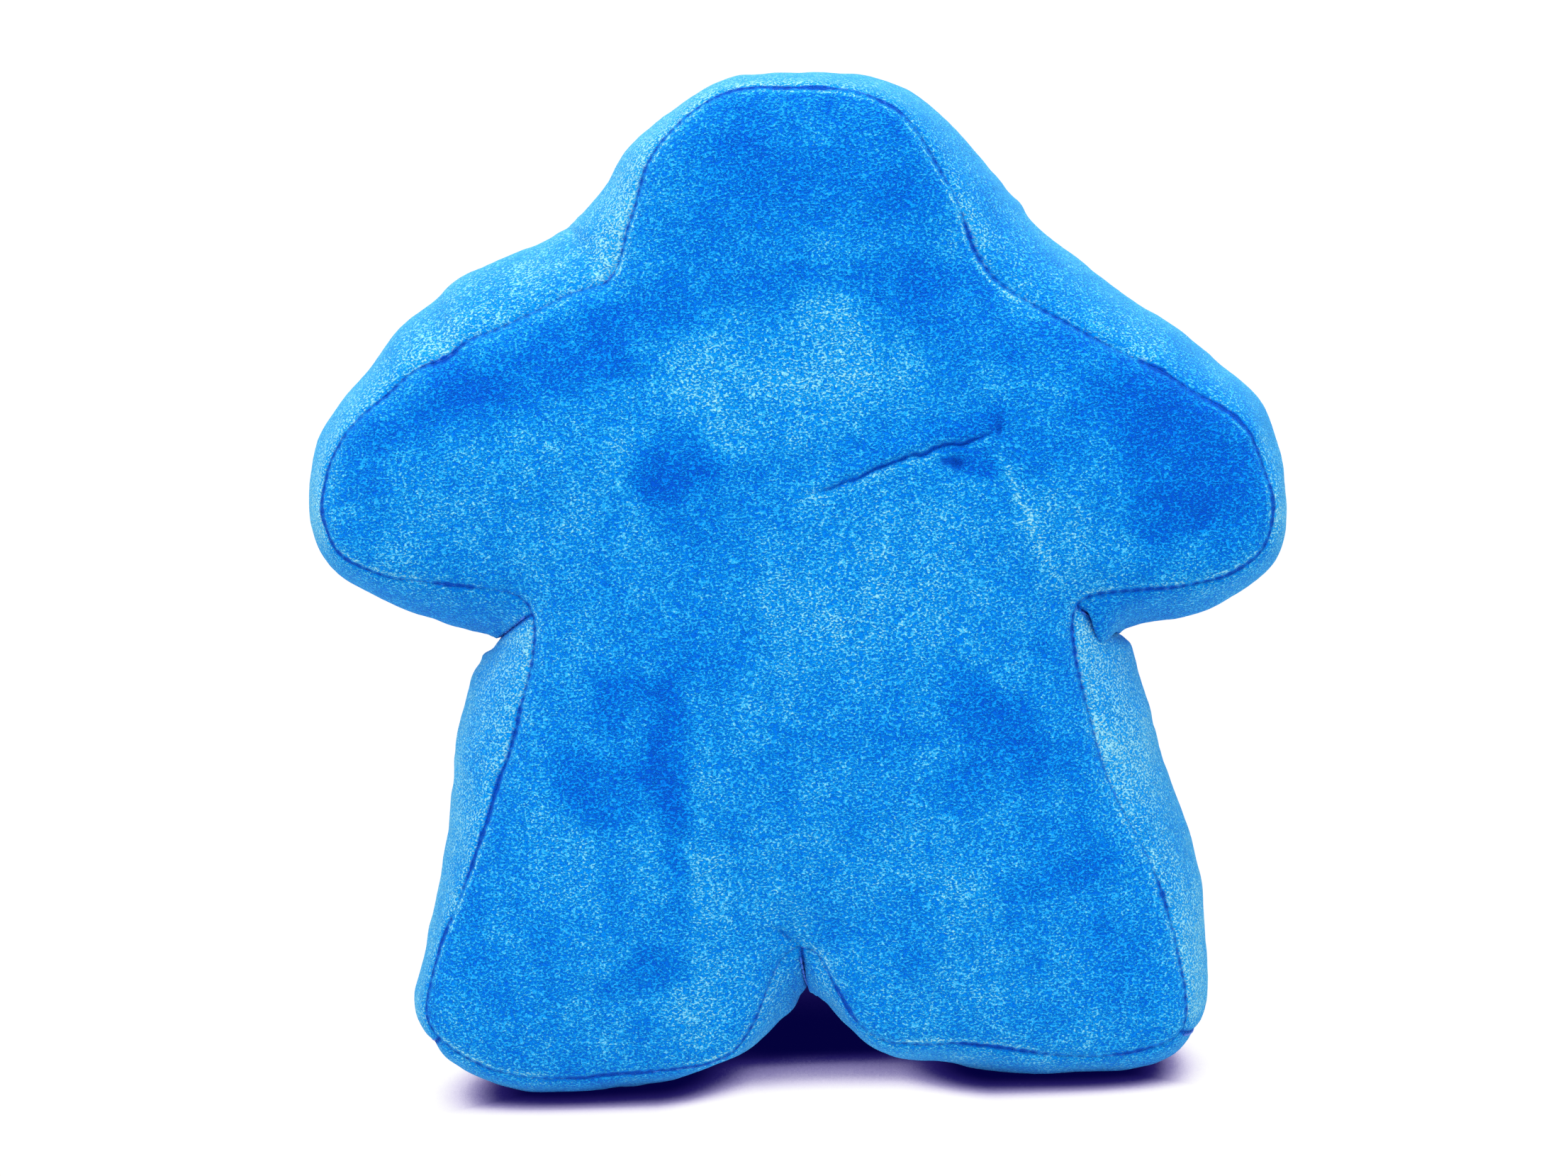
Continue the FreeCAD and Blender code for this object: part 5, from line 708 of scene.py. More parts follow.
def make_gusset(name, s0, s1, seed, gather_ends=(1.0, 1.0)):
    s, P, d0, d1, dirs, b = gusset_grid(s0, s1)
    P = unfold(P, s)
    if name.startswith("gusset_top"):
        P = relax(P, s, 1186.0, 32.0, 190)
        P = relax(P, s, 1040.0, 22.0, 10)
    N = grid_normals(P)
    # outward
    if (N[:, N.shape[1] // 2, 0] * dirs[:, 0] + N[:, N.shape[1] // 2, 2] * dirs[:, 1]).mean() < 0:
        N = -N
    shape = P.shape[:2]
    sm = np.repeat(s[:, None], shape[1], 1)
    # at its ends the strip faces the same way as its neighbour
    big = ((HALF * HALF + b * b) / (2 * b))[:, None]
    sinp = np.clip(P[:, :, 1] / big, -1, 1)
    cosp = np.sqrt(1 - sinp * sinp)
    NS = np.stack([dirs[:, None, 0] * cosp, sinp, dirs[:, None, 1] * cosp], 2)
    wn = np.exp(-(np.minimum(sm - s0, s1 - sm) / 4.5) ** 2)[:, :, None]
    N = N * (1 - wn) + NS * wn
    N /= np.linalg.norm(N, axis=2)[:, :, None] + 1e-9
    flat = P.reshape(-1, 3)
    dd0, dd1 = d0.ravel(), d1.ravel()
    ss = sm.ravel() % PER
    dip0 = seam_dip(dd0, ss, 1)
    dip1 = seam_dip(dd1, ss, 2)
    # same sinking at the edge as the panels
    m0, m1 = np.exp(-dd0 / 4.0), np.exp(-dd1 / 4.0)
    n2 = N.reshape(-1, 3)
    dirf = np.repeat(dirs[:, None, :], shape[1], 1).reshape(-1, 2)
    sp, sn = outline_at(ss)
    edge0 = np.stack([sn[:, 0] * 0.45, np.full(len(ss), -0.82), sn[:, 1] * 0.45], 1)
    edge1 = np.stack([sn[:, 0] * 0.45, np.full(len(ss), 0.82), sn[:, 1] * 0.45], 1)
    move = -dip0[:, None] * (edge0 * m0[:, None] + n2 * (1 - m0[:, None])) \
           - dip1[:, None] * (edge1 * m1[:, None] + n2 * (1 - m1[:, None]))
    w = flat
    fade = (1 - np.exp(-np.minimum(dd0, dd1) / 6.0))
    # cross wrinkles over the strip, and soft unevenness
    q = np.stack([ss, (dd0 - dd1) * 0.16, ss * 0], 1)
    wr = fbm(q, 11.0, 71 + seed, 2) * 0.75 + fbm(q, 30.0, 81 + seed, 2) * 1.0
    fine = fbm(w, 2.6, 91 + seed, 2) * 0.12
    ends = (1 - np.exp(-((sm.ravel() - s0) / 5.0) ** 2)) * (1 - np.exp(-((s1 - sm.ravel()) / 5.0) ** 2))
    body = (wr + fine) * fade * ends
    # tighter cross seams at both ends
    e0, e1 = (sm.ravel() - s0), (s1 - sm.ravel())
    push = np.zeros_like(flat)
    if name.startswith("gusset_top"):
        near_front = bell((dd0 - 9.5) / 9.0) + 0.25 * np.clip(1.25 - dd0 / 55.0, 0, 1)
        roll = 8.2 * near_front * bell((e1 - 4.8) / 3.7) * (1 - np.exp(-(e1 / 1.8) ** 2))
        push = push + roll[:, None] * np.array([-0.22, 0.0, -0.97])
    if name.startswith("gusset_right_foot"):
        far = np.abs(P[:, :, 0] - P[-1:, :, 0]).ravel()
        push[:, 2] -= (2.6 * bell(far / 12.0) + 3.4 * bell((far - 4.6) / 3.4)) * bell(e1 / 26.0)
    if name.startswith("gusset_left_foot"):
        far = np.abs(P[:, :, 0] - P[:1, :, 0]).ravel()
        push[:, 2] -= (2.6 * bell(far / 12.0) + 3.4 * bell((far - 4.6) / 3.4)) * bell(e0 / 26.0)
    crotch = {"gusset_right_foot": 1, "gusset_left_foot": 0}.get(name)
    for i, (e, k) in enumerate(((e0, gather_ends[0]), (e1, gather_ends[1]))):
        pull = 0.05 if i == crotch else 0.35
        k = 0.5 if i == crotch else k
        body = body - k * (1.5 * np.exp(-(e / 1.3) ** 2) + pull * np.exp(-(e / 2.0) ** 2) * np.cos(2 * np.pi * dd0 / STITCH)
                           + 0.7 * np.exp(-(e / 5.0) ** 2))
    move = move + n2 * (body * fade)[:, None] + push * fade[:, None]
    Q = flat + move
    Q = sole(Q)
    Q = Q.reshape(P.shape)
    N2 = grid_normals(Q)
    if (N2 * N).sum() < 0:
        N2 = -N2
    inner = Q - N2 * 1.5
    # seam allowance turned in
    inner[:, 0] = Q[:, 0] + np.stack([-dirs[:, 0] * 1.2, np.full(len(s), 0.8), -dirs[:, 1] * 1.2], 1)
    inner[:, -1] = Q[:, -1] + np.stack([-dirs[:, 0] * 1.2, np.full(len(s), -0.8), -dirs[:, 1] * 1.2], 1)
    inner[:, :, 2] = np.maximum(inner[:, :, 2], Q[:, :, 2] * 0 + np.minimum(Q[:, :, 2] + 1.0, inner[:, :, 2].clip(0.9)))
    a, c = shape
    idx = np.arange(a * c).reshape(a, c)
    f = np.stack([idx[:-1, :-1], idx[1:, :-1], idx[1:, 1:], idx[:-1, 1:]], 2).reshape(-1, 4)
    q0 = Q.reshape(-1, 3)
    mid = f[len(f) // 2]
    nn = np.cross(q0[mid[1]] - q0[mid[0]], q0[mid[3]] - q0[mid[0]])
    if nn @ N.reshape(-1, 3)[mid[0]] < 0:
        f = f[:, ::-1]
    o = closed_shell(name, q0, f.tolist(), inner.reshape(-1, 3))
    # Painted light and shade on the strip: darkest where it faces down, lightest where it faces sideways, darker where
    # it faces up on the right of the head and lighter on the crown, the right side strip darker and the left side strip
    # lighter, with random tone on top.
    up = N[:, :, 2].ravel()
    top_right = np.interp(up, [0.1, 0.4], [0, 1]) * np.interp(flat[:, 0], [10, 45], [0, 1])
    crown = np.interp(up, [0.1, 0.4], [0, 1]) * bell((flat[:, 0] + 32.0) / 26.0) * np.interp(flat[:, 2], [215, 235], [0, 1])
    nap_and_painted_light = np.interp(up, [-1, -0.55, -0.1, 0.25, 0.5, 1], [-0.1, 0.25, 1.35, 1.0, 0.65, 0.8]) - 0.55 * top_right + 0.55 * crown \
        + {"gusset_right_side": -0.40, "gusset_left_side": 0.25}.get(name, 0.0) \
        + 0.45 * fbm(flat, 30.0, 601 + seed, 3)
    add_attr(o, "nap_and_painted_light", nap_and_painted_light)
    crev = np.maximum(seam_crevice(dd0 * 1.2, ss, 1), seam_crevice(dd1 * 1.2, ss, 2))
    ee = np.minimum(e0, e1)
    # painted shade in the seam grooves and at the cross seams at both ends of the strip
    add_attr(o, "crevice", np.maximum(crev, 0.85 * bell(ee / 1.1)))
    # strength of the painted rim sheen, larger where the strip faces up; it also scales the sheen weight
    under = np.interp(up, [-1, -0.4, 0.1, 0.6, 1], [0.35, 0.4, 0.42, 0.8, 0.9])
    add_attr(o, "rim", under * (1 - np.exp(-np.minimum(dd0, dd1) / 7.0)))
    return o


# --------------------------------------------------------------- materials
def material(name):
    m = bpy.data.materials.new(name)
    m.use_nodes = True
    nt = m.node_tree
    return m, nt, nt.nodes["Principled BSDF"]


def node(nt, kind, **kw):
    n = nt.nodes.new(kind)
    for k, v in kw.items():
        if k.startswith("in_"):
            key = k[3:]
            key = int(key) if key.isdigit() else key.replace("_", " ")
            n.inputs[key].default_value = v
        else:
            setattr(n, k, v)
    return n


def math_node(nt, op, a, b=None, clamp=False):
    n = nt.nodes.new("ShaderNodeMath")
    n.operation = op
    n.use_clamp = clamp
    for i, v in enumerate((a, b)):
        if v is None:
            continue
        if isinstance(v, (int, float)):
            n.inputs[i].default_value = v
        else:
            nt.links.new(v, n.inputs[i])
    return n.outputs[0]


def srgb(r, g, b):
    def f(c):
        c /= 255.0
        return c / 12.92 if c <= 0.04045 else ((c + 0.055) / 1.055) ** 2.4
    return (f(r), f(g), f(b), 1.0)


def velour():
    m, nt, bsdf = material("velour")
    L = nt.links
    co = node(nt, "ShaderNodeTexCoord").outputs["Object"]
    nap_and_painted_light = node(nt, "ShaderNodeAttribute", attribute_name="nap_and_painted_light")
    crev = node(nt, "ShaderNodeAttribute", attribute_name="crevice")

    def noise_at(scale, detail, rough=0.55, stretch=(1, 1, 1), turn=0.0, src=None):
        n = node(nt, "ShaderNodeTexNoise", in_Scale=scale, in_Detail=detail, in_Roughness=rough)
        mp = node(nt, "ShaderNodeMapping")
        mp.inputs["Scale"].default_value = stretch
        mp.inputs["Rotation"].default_value = (0, math.radians(turn), 0)
        L.new(src or co, mp.inputs["Vector"])
        L.new(mp.outputs[0], n.inputs["Vector"])
        return n

    # rows of short worm-like tufts, a little over a millimetre apart
    warp = noise_at(520.0, 2.0)
    wm = node(nt, "ShaderNodeVectorMath", operation="MULTIPLY_ADD")
    L.new(warp.outputs["Color"], wm.inputs[0])
    wm.inputs[1].default_value = (0.0009, 0.0009, 0.0009)
    L.new(co, wm.inputs[2])
    worm = noise_at(1250.0, 1.4, 0.5, (0.95, 1.0, 1.5), 4.0, wm.outputs[0])
    tuft = node(nt, "ShaderNodeMapRange", interpolation_type="SMOOTHSTEP")
    L.new(worm.outputs["Fac"], tuft.inputs["Value"])
    tuft.inputs["From Min"].default_value = 0.40
    tuft.inputs["From Max"].default_value = 0.60
    tuft = tuft.outputs["Result"]
    cross = noise_at(1650.0, 1.0, 0.5, (1.0, 1.0, 1.4), -14.0, wm.outputs[0]).outputs["Fac"]
    hairs = noise_at(2900.0, 1.5, 0.6, (1.0, 1.0, 0.6), 35.0).outputs["Fac"]
    cloud = noise_at(38.0, 5.0, 0.62).outputs["Fac"]
    speck = noise_at(150.0, 3.0, 0.62, (0.8, 1.0, 1.0)).outputs["Fac"]
    streak = noise_at(95.0, 4.0, 0.6, (1.0, 1.0, 0.3), 34.0).outputs["Fac"]

    def part(x, mid, gain):
        return math_node(nt, "MULTIPLY", math_node(nt, "SUBTRACT", x, mid), gain)

    # the tone attribute holds pile direction plus painted highlights and painted shade
    tone = math_node(nt, "MULTIPLY", nap_and_painted_light.outputs["Fac"], NAP_AND_LIGHT_GAIN)
    for x, mid, gain in ((tuft, 0.5, 0.42), (cross, 0.5, 0.72), (hairs, 0.5, 0.52), (cloud, 0.5, 0.34), (speck, 0.5, 0.34), (streak, 0.5, 0.30)):
        tone = math_node(nt, "ADD", tone, part(x, mid, gain))
    tone = math_node(nt, "ADD", tone, TONE_MID, clamp=True)
    ramp = node(nt, "ShaderNodeValToRGB")
    cr = ramp.color_ramp
    cr.elements[0].position, cr.elements[0].color = 0.0, srgb(*COL[0])
    cr.elements[1].position, cr.elements[1].color = 1.0, srgb(*COL[4])
    for pos, col in ((0.28, COL[1]), (0.52, COL[2]), (0.76, COL[3])):
        el = cr.elements.new(pos)
        el.color = srgb(*col)
    L.new(tone, ramp.inputs["Fac"])
    # painted sheen: pile seen on its side looks paler toward the silhouette
    face = node(nt, "ShaderNodeLayerWeight", in_Blend=0.5)
    rim = math_node(nt, "POWER", face.outputs["Facing"], 2.6)
    rimk = node(nt, "ShaderNodeAttribute", attribute_name="rim")
    rim = math_node(nt, "MULTIPLY", rim, rimk.outputs["Fac"])
    rim = math_node(nt, "MULTIPLY", rim, math_node(nt, "ADD", math_node(nt, "MULTIPLY", cloud, 0.8), 0.6), clamp=True)
    mixr = node(nt, "ShaderNodeMix", data_type="RGBA")
    L.new(rim, mixr.inputs["Factor"])
    L.new(ramp.outputs["Color"], mixr.inputs[6])
    mixr.inputs[7].default_value = srgb(*PAINTED_SHEEN)
    # shade in creases and seam grooves, with a furry edge
    edge = math_node(nt, "ADD", crev.outputs["Fac"], part(tuft, 0.5, 0.22))
    edge = math_node(nt, "ADD", edge, part(hairs, 0.5, 0.5))
    mr = node(nt, "ShaderNodeMapRange", interpolation_type="SMOOTHSTEP")
    L.new(edge, mr.inputs["Value"])
    mr.inputs["From Min"].default_value = 0.22
    mr.inputs["From Max"].default_value = 0.85
    mixd = node(nt, "ShaderNodeMix", data_type="RGBA")
    L.new(mr.outputs["Result"], mixd.inputs["Factor"])
    L.new(mixr.outputs[2], mixd.inputs[6])
    mixd.inputs[7].default_value = srgb(*PAINTED_SHADE)
    L.new(mixd.outputs[2], bsdf.inputs["Base Color"])
    rgh = math_node(nt, "ADD", math_node(nt, "MULTIPLY", tuft, -0.12), 0.97)
    L.new(rgh, bsdf.inputs["Roughness"])
    bsdf.inputs["Specular IOR Level"].default_value = 0.06
    L.new(math_node(nt, "MULTIPLY", math_node(nt, "ADD", math_node(nt, "MULTIPLY", rimk.outputs["Fac"], 0.6), 0.55), SHEEN),
          bsdf.inputs["Sheen Weight"])
    bsdf.inputs["Sheen Roughness"].default_value = 0.38
    bsdf.inputs["Sheen Tint"].default_value = srgb(110, 205, 255)
    hgt = math_node(nt, "ADD", math_node(nt, "MULTIPLY", tuft, 0.8), math_node(nt, "MULTIPLY", cross, 0.9))
    hgt = math_node(nt, "ADD", hgt, math_node(nt, "MULTIPLY", hairs, 0.4))
    hgt = math_node(nt, "ADD", hgt, math_node(nt, "MULTIPLY", speck, 0.8))
    bump = node(nt, "ShaderNodeBump", in_Strength=0.85, in_Distance=0.0006)
    L.new(hgt, bump.inputs["Height"])
    L.new(bump.outputs[0], bsdf.inputs["Normal"])
    return m


NAP_AND_LIGHT_GAIN = 0.225
TONE_MID = 0.50
COL = ((0, 86, 212), (0, 118, 234), (0, 150, 247), (46, 184, 253), (158, 231, 255))
# colour of the painted sheen toward the silhouette
PAINTED_SHEEN = (96, 200, 252)
# colour of the painted shade in creases, dents and seam grooves
PAINTED_SHADE = (0, 80, 203)
SHEEN = 0.21


def thread_mat():
    m, nt, bsdf = material("sewing_thread")
    geo = node(nt, "ShaderNodeTexCoord")
    wv = node(nt, "ShaderNodeTexNoise", in_Scale=2400.0, in_Detail=2.0)
    nt.links.new(geo.outputs["Object"], wv.inputs["Vector"])
    r = node(nt, "ShaderNodeValToRGB")
    r.color_ramp.elements[0].color = srgb(0, 84, 206)
    r.color_ramp.elements[1].color = srgb(12, 122, 232)
    nt.links.new(wv.outputs["Fac"], r.inputs["Fac"])
    nt.links.new(r.outputs["Color"], bsdf.inputs["Base Color"])
    bsdf.inputs["Roughness"].default_value = 0.6
    bsdf.inputs["Sheen Weight"].default_value = 0.2
    b = node(nt, "ShaderNodeBump", in_Strength=0.6, in_Distance=0.0001)
    nt.links.new(wv.outputs["Fac"], b.inputs["Height"])
    nt.links.new(b.outputs[0], bsdf.inputs["Normal"])
    return m


def fibre_mat():
    m, nt, bsdf = material("polyester_fibre")
    geo = node(nt, "ShaderNodeTexCoord")
    wv = node(nt, "ShaderNodeTexNoise", in_Scale=420.0, in_Detail=6.0, in_Distortion=1.5)
    nt.links.new(geo.outputs["Object"], wv.inputs["Vector"])
    r = node(nt, "ShaderNodeValToRGB")
    r.color_ramp.elements[0].color = srgb(214, 216, 216)
    r.color_ramp.elements[1].color = srgb(250, 250, 248)
    nt.links.new(wv.outputs["Fac"], r.inputs["Fac"])
    nt.links.new(r.outputs["Color"], bsdf.inputs["Base Color"])
    bsdf.inputs["Roughness"].default_value = 0.9
    bsdf.inputs["Sheen Weight"].default_value = 0.5
    b = node(nt, "ShaderNodeBump", in_Strength=0.9, in_Distance=0.0008)
    nt.links.new(wv.outputs["Fac"], b.inputs["Height"])
    nt.links.new(b.outputs[0], bsdf.inputs["Normal"])
    return m


def ribbon_mat():
    m, nt, bsdf = material("label_ribbon")
    geo = node(nt, "ShaderNodeTexCoord")
    wv = node(nt, "ShaderNodeTexWave", in_Scale=900.0, in_Distortion=0.6)
    wv.bands_direction = "Z"
    nt.links.new(geo.outputs["Object"], wv.inputs["Vector"])
    r = node(nt, "ShaderNodeValToRGB")
    r.color_ramp.elements[0].color = srgb(224, 224, 220)
    r.color_ramp.elements[1].color = srgb(246, 246, 242)
    nt.links.new(wv.outputs["Fac"], r.inputs["Fac"])
    nt.links.new(r.outputs["Color"], bsdf.inputs["Base Color"])
    bsdf.inputs["Roughness"].default_value = 0.42
    bsdf.inputs["Sheen Weight"].default_value = 0.2
    b = node(nt, "ShaderNodeBump", in_Strength=0.5, in_Distance=0.0001)
    nt.links.new(wv.outputs["Fac"], b.inputs["Height"])
    nt.links.new(b.outputs[0], bsdf.inputs["Normal"])
    return m


VELOUR, THREAD, FIBRE, RIBBON = velour(), thread_mat(), fibre_mat(), ribbon_mat()


def finish_piece(o, mat, nodes, body="plush"):
    o.data.materials.clear()
    o.data.materials.append(mat)
    if body:
        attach(o, body)
    if nodes:
        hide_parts(*nodes)
    return o


front = finish_piece(make_panel("front_panel_cloth", -1.0, 1), VELOUR, ["front_panel"])
back = finish_piece(make_panel("back_panel_cloth", 1.0, 2), VELOUR, ["back_panel"])
strips = {}
for nm, a, b, sd in (("gusset_top", 0, 1, 1), ("gusset_right_side", 1, 2, 2), ("gusset_right_foot", 2, 3, 3),
                     ("gusset_left_foot", 3, 4, 4), ("gusset_left_side", 4, 5, 5)):
    ends = {"gusset_right_side": (1.0, 0.4), "gusset_right_foot": (0.4, 1.0),
            "gusset_left_foot": (1.0, 0.4), "gusset_left_side": (0.4, 1.0)}.get(nm, (1.0, 1.0))
    strips[nm] = finish_piece(make_gusset(nm + "_cloth", CUTS[a], CUTS[b], sd, ends), VELOUR, [nm])


# ----------------------------------------------------------------- stitches
def capsules(name, starts, ends, radius, bulge_dir=None, bow=0.0):
    """One mesh of short bowed threads, each a closed tube."""
    ring, along = 6, 5
    verts, faces = [], []
    for k, (p, q) in enumerate(zip(starts, ends)):
        p, q = np.array(p, float), np.array(q, float)
        ax = q - p
        ln = np.linalg.norm(ax)
        ax = ax / ln
        up = np.array(bulge_dir[k], float) if bulge_dir is not None else np.array([0, 1.0, 0])
        up = up - ax * (up @ ax)
        up /= np.linalg.norm(up)
        sd = np.cross(ax, up)
        base = len(verts)
        for i in range(along):
            t = i / (along - 1)
            c = p + ax * ln * t + up * bow * math.sin(math.pi * t)
            r = radius * (0.55 + 0.45 * math.sin(math.pi * (0.12 + 0.76 * t)))
            for j in range(ring):
                a = 2 * math.pi * j / ring
                verts.append(c + (up * math.cos(a) + sd * math.sin(a)) * r)
        for i in range(along - 1):
            for j in range(ring):
                a0 = base + i * ring + j
                b0 = base + i * ring + (j + 1) % ring
                faces.append([a0, a0 + ring, b0 + ring, b0])
        c0 = len(verts)
        verts.append(p - ax * radius * 0.5)
        verts.append(q + ax * radius * 0.5)
        for j in range(ring):
            faces.append([c0, base + j, base + (j + 1) % ring])
            e = base + (along - 1) * ring
            faces.append([c0 + 1, e + (j + 1) % ring, e + j])
    me = bpy.data.meshes.new(name)
    me.from_pydata((settle(verts) * MM).tolist(), [], faces)
    me.update()
    me.shade_smooth()
    o = bpy.data.objects.new(name, me)
    bpy.context.scene.collection.objects.link(o)
    bm = bmesh.new()
    bm.from_mesh(me)
    bmesh.ops.recalc_face_normals(bm, faces=bm.faces)
    bm.to_mesh(me)
    bm.free()
    return o


NST = int(round(PER / STITCH))


def seam_stitches(name, sign, k0, k1, radius, nodes, lift=0.0):
    ks = np.arange(k0, k1)
    s0 = (ks + 0.10) * PER / NST
    s1 = (ks + 0.90) * PER / NST
    seed = 1 if sign < 0 else 2
    pts = []
    for s in (s0, s1):
        p, n = outline_at(s)
        dip = seam_dip(np.zeros(len(s)), s % PER, seed)
        y = sign * HALF - sign * dip * 0.82 + sign * (lift - 0.22)
        q = p - n * (dip * 0.45)[:, None] - n * 0.12
        pts.append(np.stack([q[:, 0], y, q[:, 1]], 1))
    p, n = outline_at((s0 + s1) / 2)
    up = np.stack([n[:, 0] * 0.5, np.full(len(ks), sign * 0.85), n[:, 1] * 0.5], 1)
    o = capsules(name, pts[0], pts[1], radius, up, 0.18)
    return finish_piece(o, THREAD, nodes)


gap0, gap1 = int(82.0 / PER * 0), 0
s_gap = (785.0, 815.0)
g0, g1 = int(s_gap[0] / PER * NST), int(s_gap[1] / PER * NST)
seam_stitches("front_seam_stitches", -1.0, 0, NST, 0.26, ["front_seam_thread"])
seam_stitches("back_seam_stitches", 1.0, g1, NST + g0, 0.26, ["back_seam_thread"])

# hand-sewn ladder stitches across the closed filling gap
lad_a, lad_b, lad_u = [], [], []
for k in range(9):
    s = s_gap[0] + 1.5 + k * 3.4
    p, n = outline_at(np.array([s]))
    p, n = p[0], n[0]
    y0 = HALF - 0.2
    lean = 0.9
    t = np.array([n[1], -n[0]])
    a = p - n * 1.5 - t * lean
    b = p + n * 1.3 + t * lean
    lad_a.append((a[0], y0 + 1.0, a[1]))
    lad_b.append((b[0], y0 - 1.0, b[1]))
    lad_u.append((n[0] * 0.5, 0.85, n[1] * 0.5))
lad = capsules("closing_seam_stitches", lad_a, lad_b, 0.36, lad_u, 0.35)
finish_piece(lad, THREAD, ["closing_seam_thread"])


def cross_stitches(name, s_cut, nodes):
    s = np.array([s_cut - 0.01, s_cut + 0.01])
    _, P, d0, d1, dirs, b = gusset_grid(s_cut - 0.6, s_cut + 0.6, 240)
    mid = P.shape[0] // 2
    line, dist = P[mid], d0[mid]
    n = line.copy()
    dy = np.gradient(line, axis=0)
    tang = dy / np.linalg.norm(dy, axis=1)[:, None]
    u = np.array([dirs[mid, 0], 0, dirs[mid, 1]])
    up = u[None] - tang * (tang @ u)[:, None]
    up /= np.linalg.norm(up, axis=1)[:, None]
    total = dist[-1]
    m = int(total / STITCH)
    A, B, U = [], [], []
    for k in range(1, m - 1):
        a, c = (k + 0.1) * STITCH, (k + 0.9) * STITCH
        pa = np.array([np.interp(a, dist, line[:, i]) for i in range(3)])
        pc = np.array([np.interp(c, dist, line[:, i]) for i in range(3)])
        uu = np.array([np.interp((a + c) / 2, dist, up[:, i]) for i in range(3)])
        fa = 1 - math.exp(-min(a, total - a) / 6.0)
        fc = 1 - math.exp(-min(c, total - c) / 6.0)
        out = {"crotch_stitches": 1.6, "right_foot_stitches": -0.8, "left_foot_stitches": -0.8}.get(name, -2.1)
        pa, pc = pa + uu * out * fa, pc + uu * out * fc
        pa[2], pc[2] = max(pa[2], 0.5), max(pc[2], 0.5)
        A.append(pa), B.append(pc), U.append(uu)
    o = capsules(name, A, B, 0.34, U, 0.15)
    return finish_piece(o, THREAD, nodes)


cross_stitches("left_armpit_stitches", CUTS[0], ["left_armpit_thread"])
cross_stitches("right_armpit_stitches", CUTS[1], ["right_armpit_thread"])
cross_stitches("right_foot_stitches", CUTS[2], ["right_foot_thread"])
cross_stitches("crotch_stitches", CUTS[3], ["crotch_thread"])
cross_stitches("left_foot_stitches", CUTS[4], ["left_foot_thread"])


# ---------------------------------------------------------------- the fibre
def fibre(name, source):
    src = frame["nodes"][source]
    me = src.data.copy()
    me.name = name
    o = bpy.data.objects.new(name, me)
    bpy.context.scene.collection.objects.link(o)
    r = o.modifiers.new("r", "REMESH")
    r.mode = "VOXEL"
    r.voxel_size = 0.0035
    dg = bpy.context.evaluated_depsgraph_get()
    ev = bpy.data.meshes.new_from_object(o.evaluated_get(dg))
    o.modifiers.clear()
    o.data = ev
    ev.name = name
    n = len(ev.vertices)
    co = np.empty(n * 3, np.float32)
    no = np.empty(n * 3, np.float32)
    ev.vertices.foreach_get("co", co)
    ev.vertices.foreach_get("normal", no)
    co, no = co.reshape(-1, 3).astype(float), no.reshape(-1, 3).astype(float)
    w = co / MM
    k = 1.3 + 0.9 * (0.5 + 0.5 * fbm(w, 9.0, 301, 3)) + 0.5 * (0.5 + 0.5 * noise(w, 3.0, 302))
    co = co - no * (k * MM)[:, None]
    ev.vertices.foreach_set("co", co.astype(np.float32).ravel())
    ev.update()
    ev.shade_smooth()
    return finish_piece(o, FIBRE, [source])


for nm in ("head", "torso", "left_arm", "right_arm", "left_leg", "right_leg"):
    fibre(nm + "_fibre", nm + "_filling")


# ---------------------------------------------------------------- the label
def ribbon():
    tab = frame["nodes"]["care_label_tab"].data
    flap = frame["nodes"]["care_label_flap"].data
    j = [q for q in frame["joints"] if q["name"] == "care_label_fold"][0]
    hinge = np.array(j["pos_m"], float) / MM
    axis = np.array(j["axis"], float)
    axis /= np.linalg.norm(axis)
    ct = np.array([v.co for v in tab.vertices], float).mean(0) / MM
    cf = np.array([v.co for v in flap.vertices], float).mean(0) / MM
    dt = hinge - ct
    dt -= axis * (dt @ axis)
    lt = np.linalg.norm(dt)
    dt /= lt
    df = cf - hinge
    df -= axis * (df @ axis)
    lf = np.linalg.norm(df)
    df /= lf
    centre = hinge + axis * ((ct - hinge) @ axis)
    # path: out of the seam, round the fold, along the leaf
    path = [centre - dt * (2 * lt + 0.6), centre - dt * lt * 1.4, centre - dt * lt * 0.8, centre - dt * 0.9]
    for t in (0.25, 0.5, 0.75):
        a = -dt * 0.55 * (1 - t) + df * 0.55 * t
        path.append(centre + a * 0.55 + (dt - df) * 0.16)
    for t in np.linspace(0.06, 1.0, 14):
        bowed = 0.5 * math.sin(math.pi * t) - 0.25 * t * t
        side = np.cross(axis, df)
        path.append(centre + df * (2 * lf * t) + side * bowed * 0.6)
    path = np.array(path)
    w, th = 7.9, 0.22
    wn = 17
    tang = np.gradient(path, axis=0)
    tang /= np.linalg.norm(tang, axis=1)[:, None]
    nor = np.cross(axis[None], tang)
    rows = []
    for i in range(len(path)):
        for k in range(wn):
            u = -1 + 2 * k / (wn - 1)
            curl = 0.25 * u * u * (i / len(path)) ** 2
            rows.append(path[i] + axis * w * u + nor[i] * curl)
    outer = np.array(rows) + np.repeat(nor, wn, 0) * th
    inner = np.array(rows) - np.repeat(nor, wn, 0) * th
    idx = np.arange(len(path) * wn).reshape(len(path), wn)
    f = np.stack([idx[:-1, :-1], idx[1:, :-1], idx[1:, 1:], idx[:-1, 1:]], 2).reshape(-1, 4)
    o = closed_shell("care_label_ribbon", outer, f.tolist(), inner)
    bm = bmesh.new()
    bm.from_mesh(o.data)
    bmesh.ops.recalc_face_normals(bm, faces=bm.faces)
    bm.to_mesh(o.data)
    bm.free()
    o.data.materials.append(RIBBON)
    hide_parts("care_label_tab", "care_label_flap")
    a = (hinge - dt * 1.3) * MM
    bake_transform(o)
    return o


ribbon()

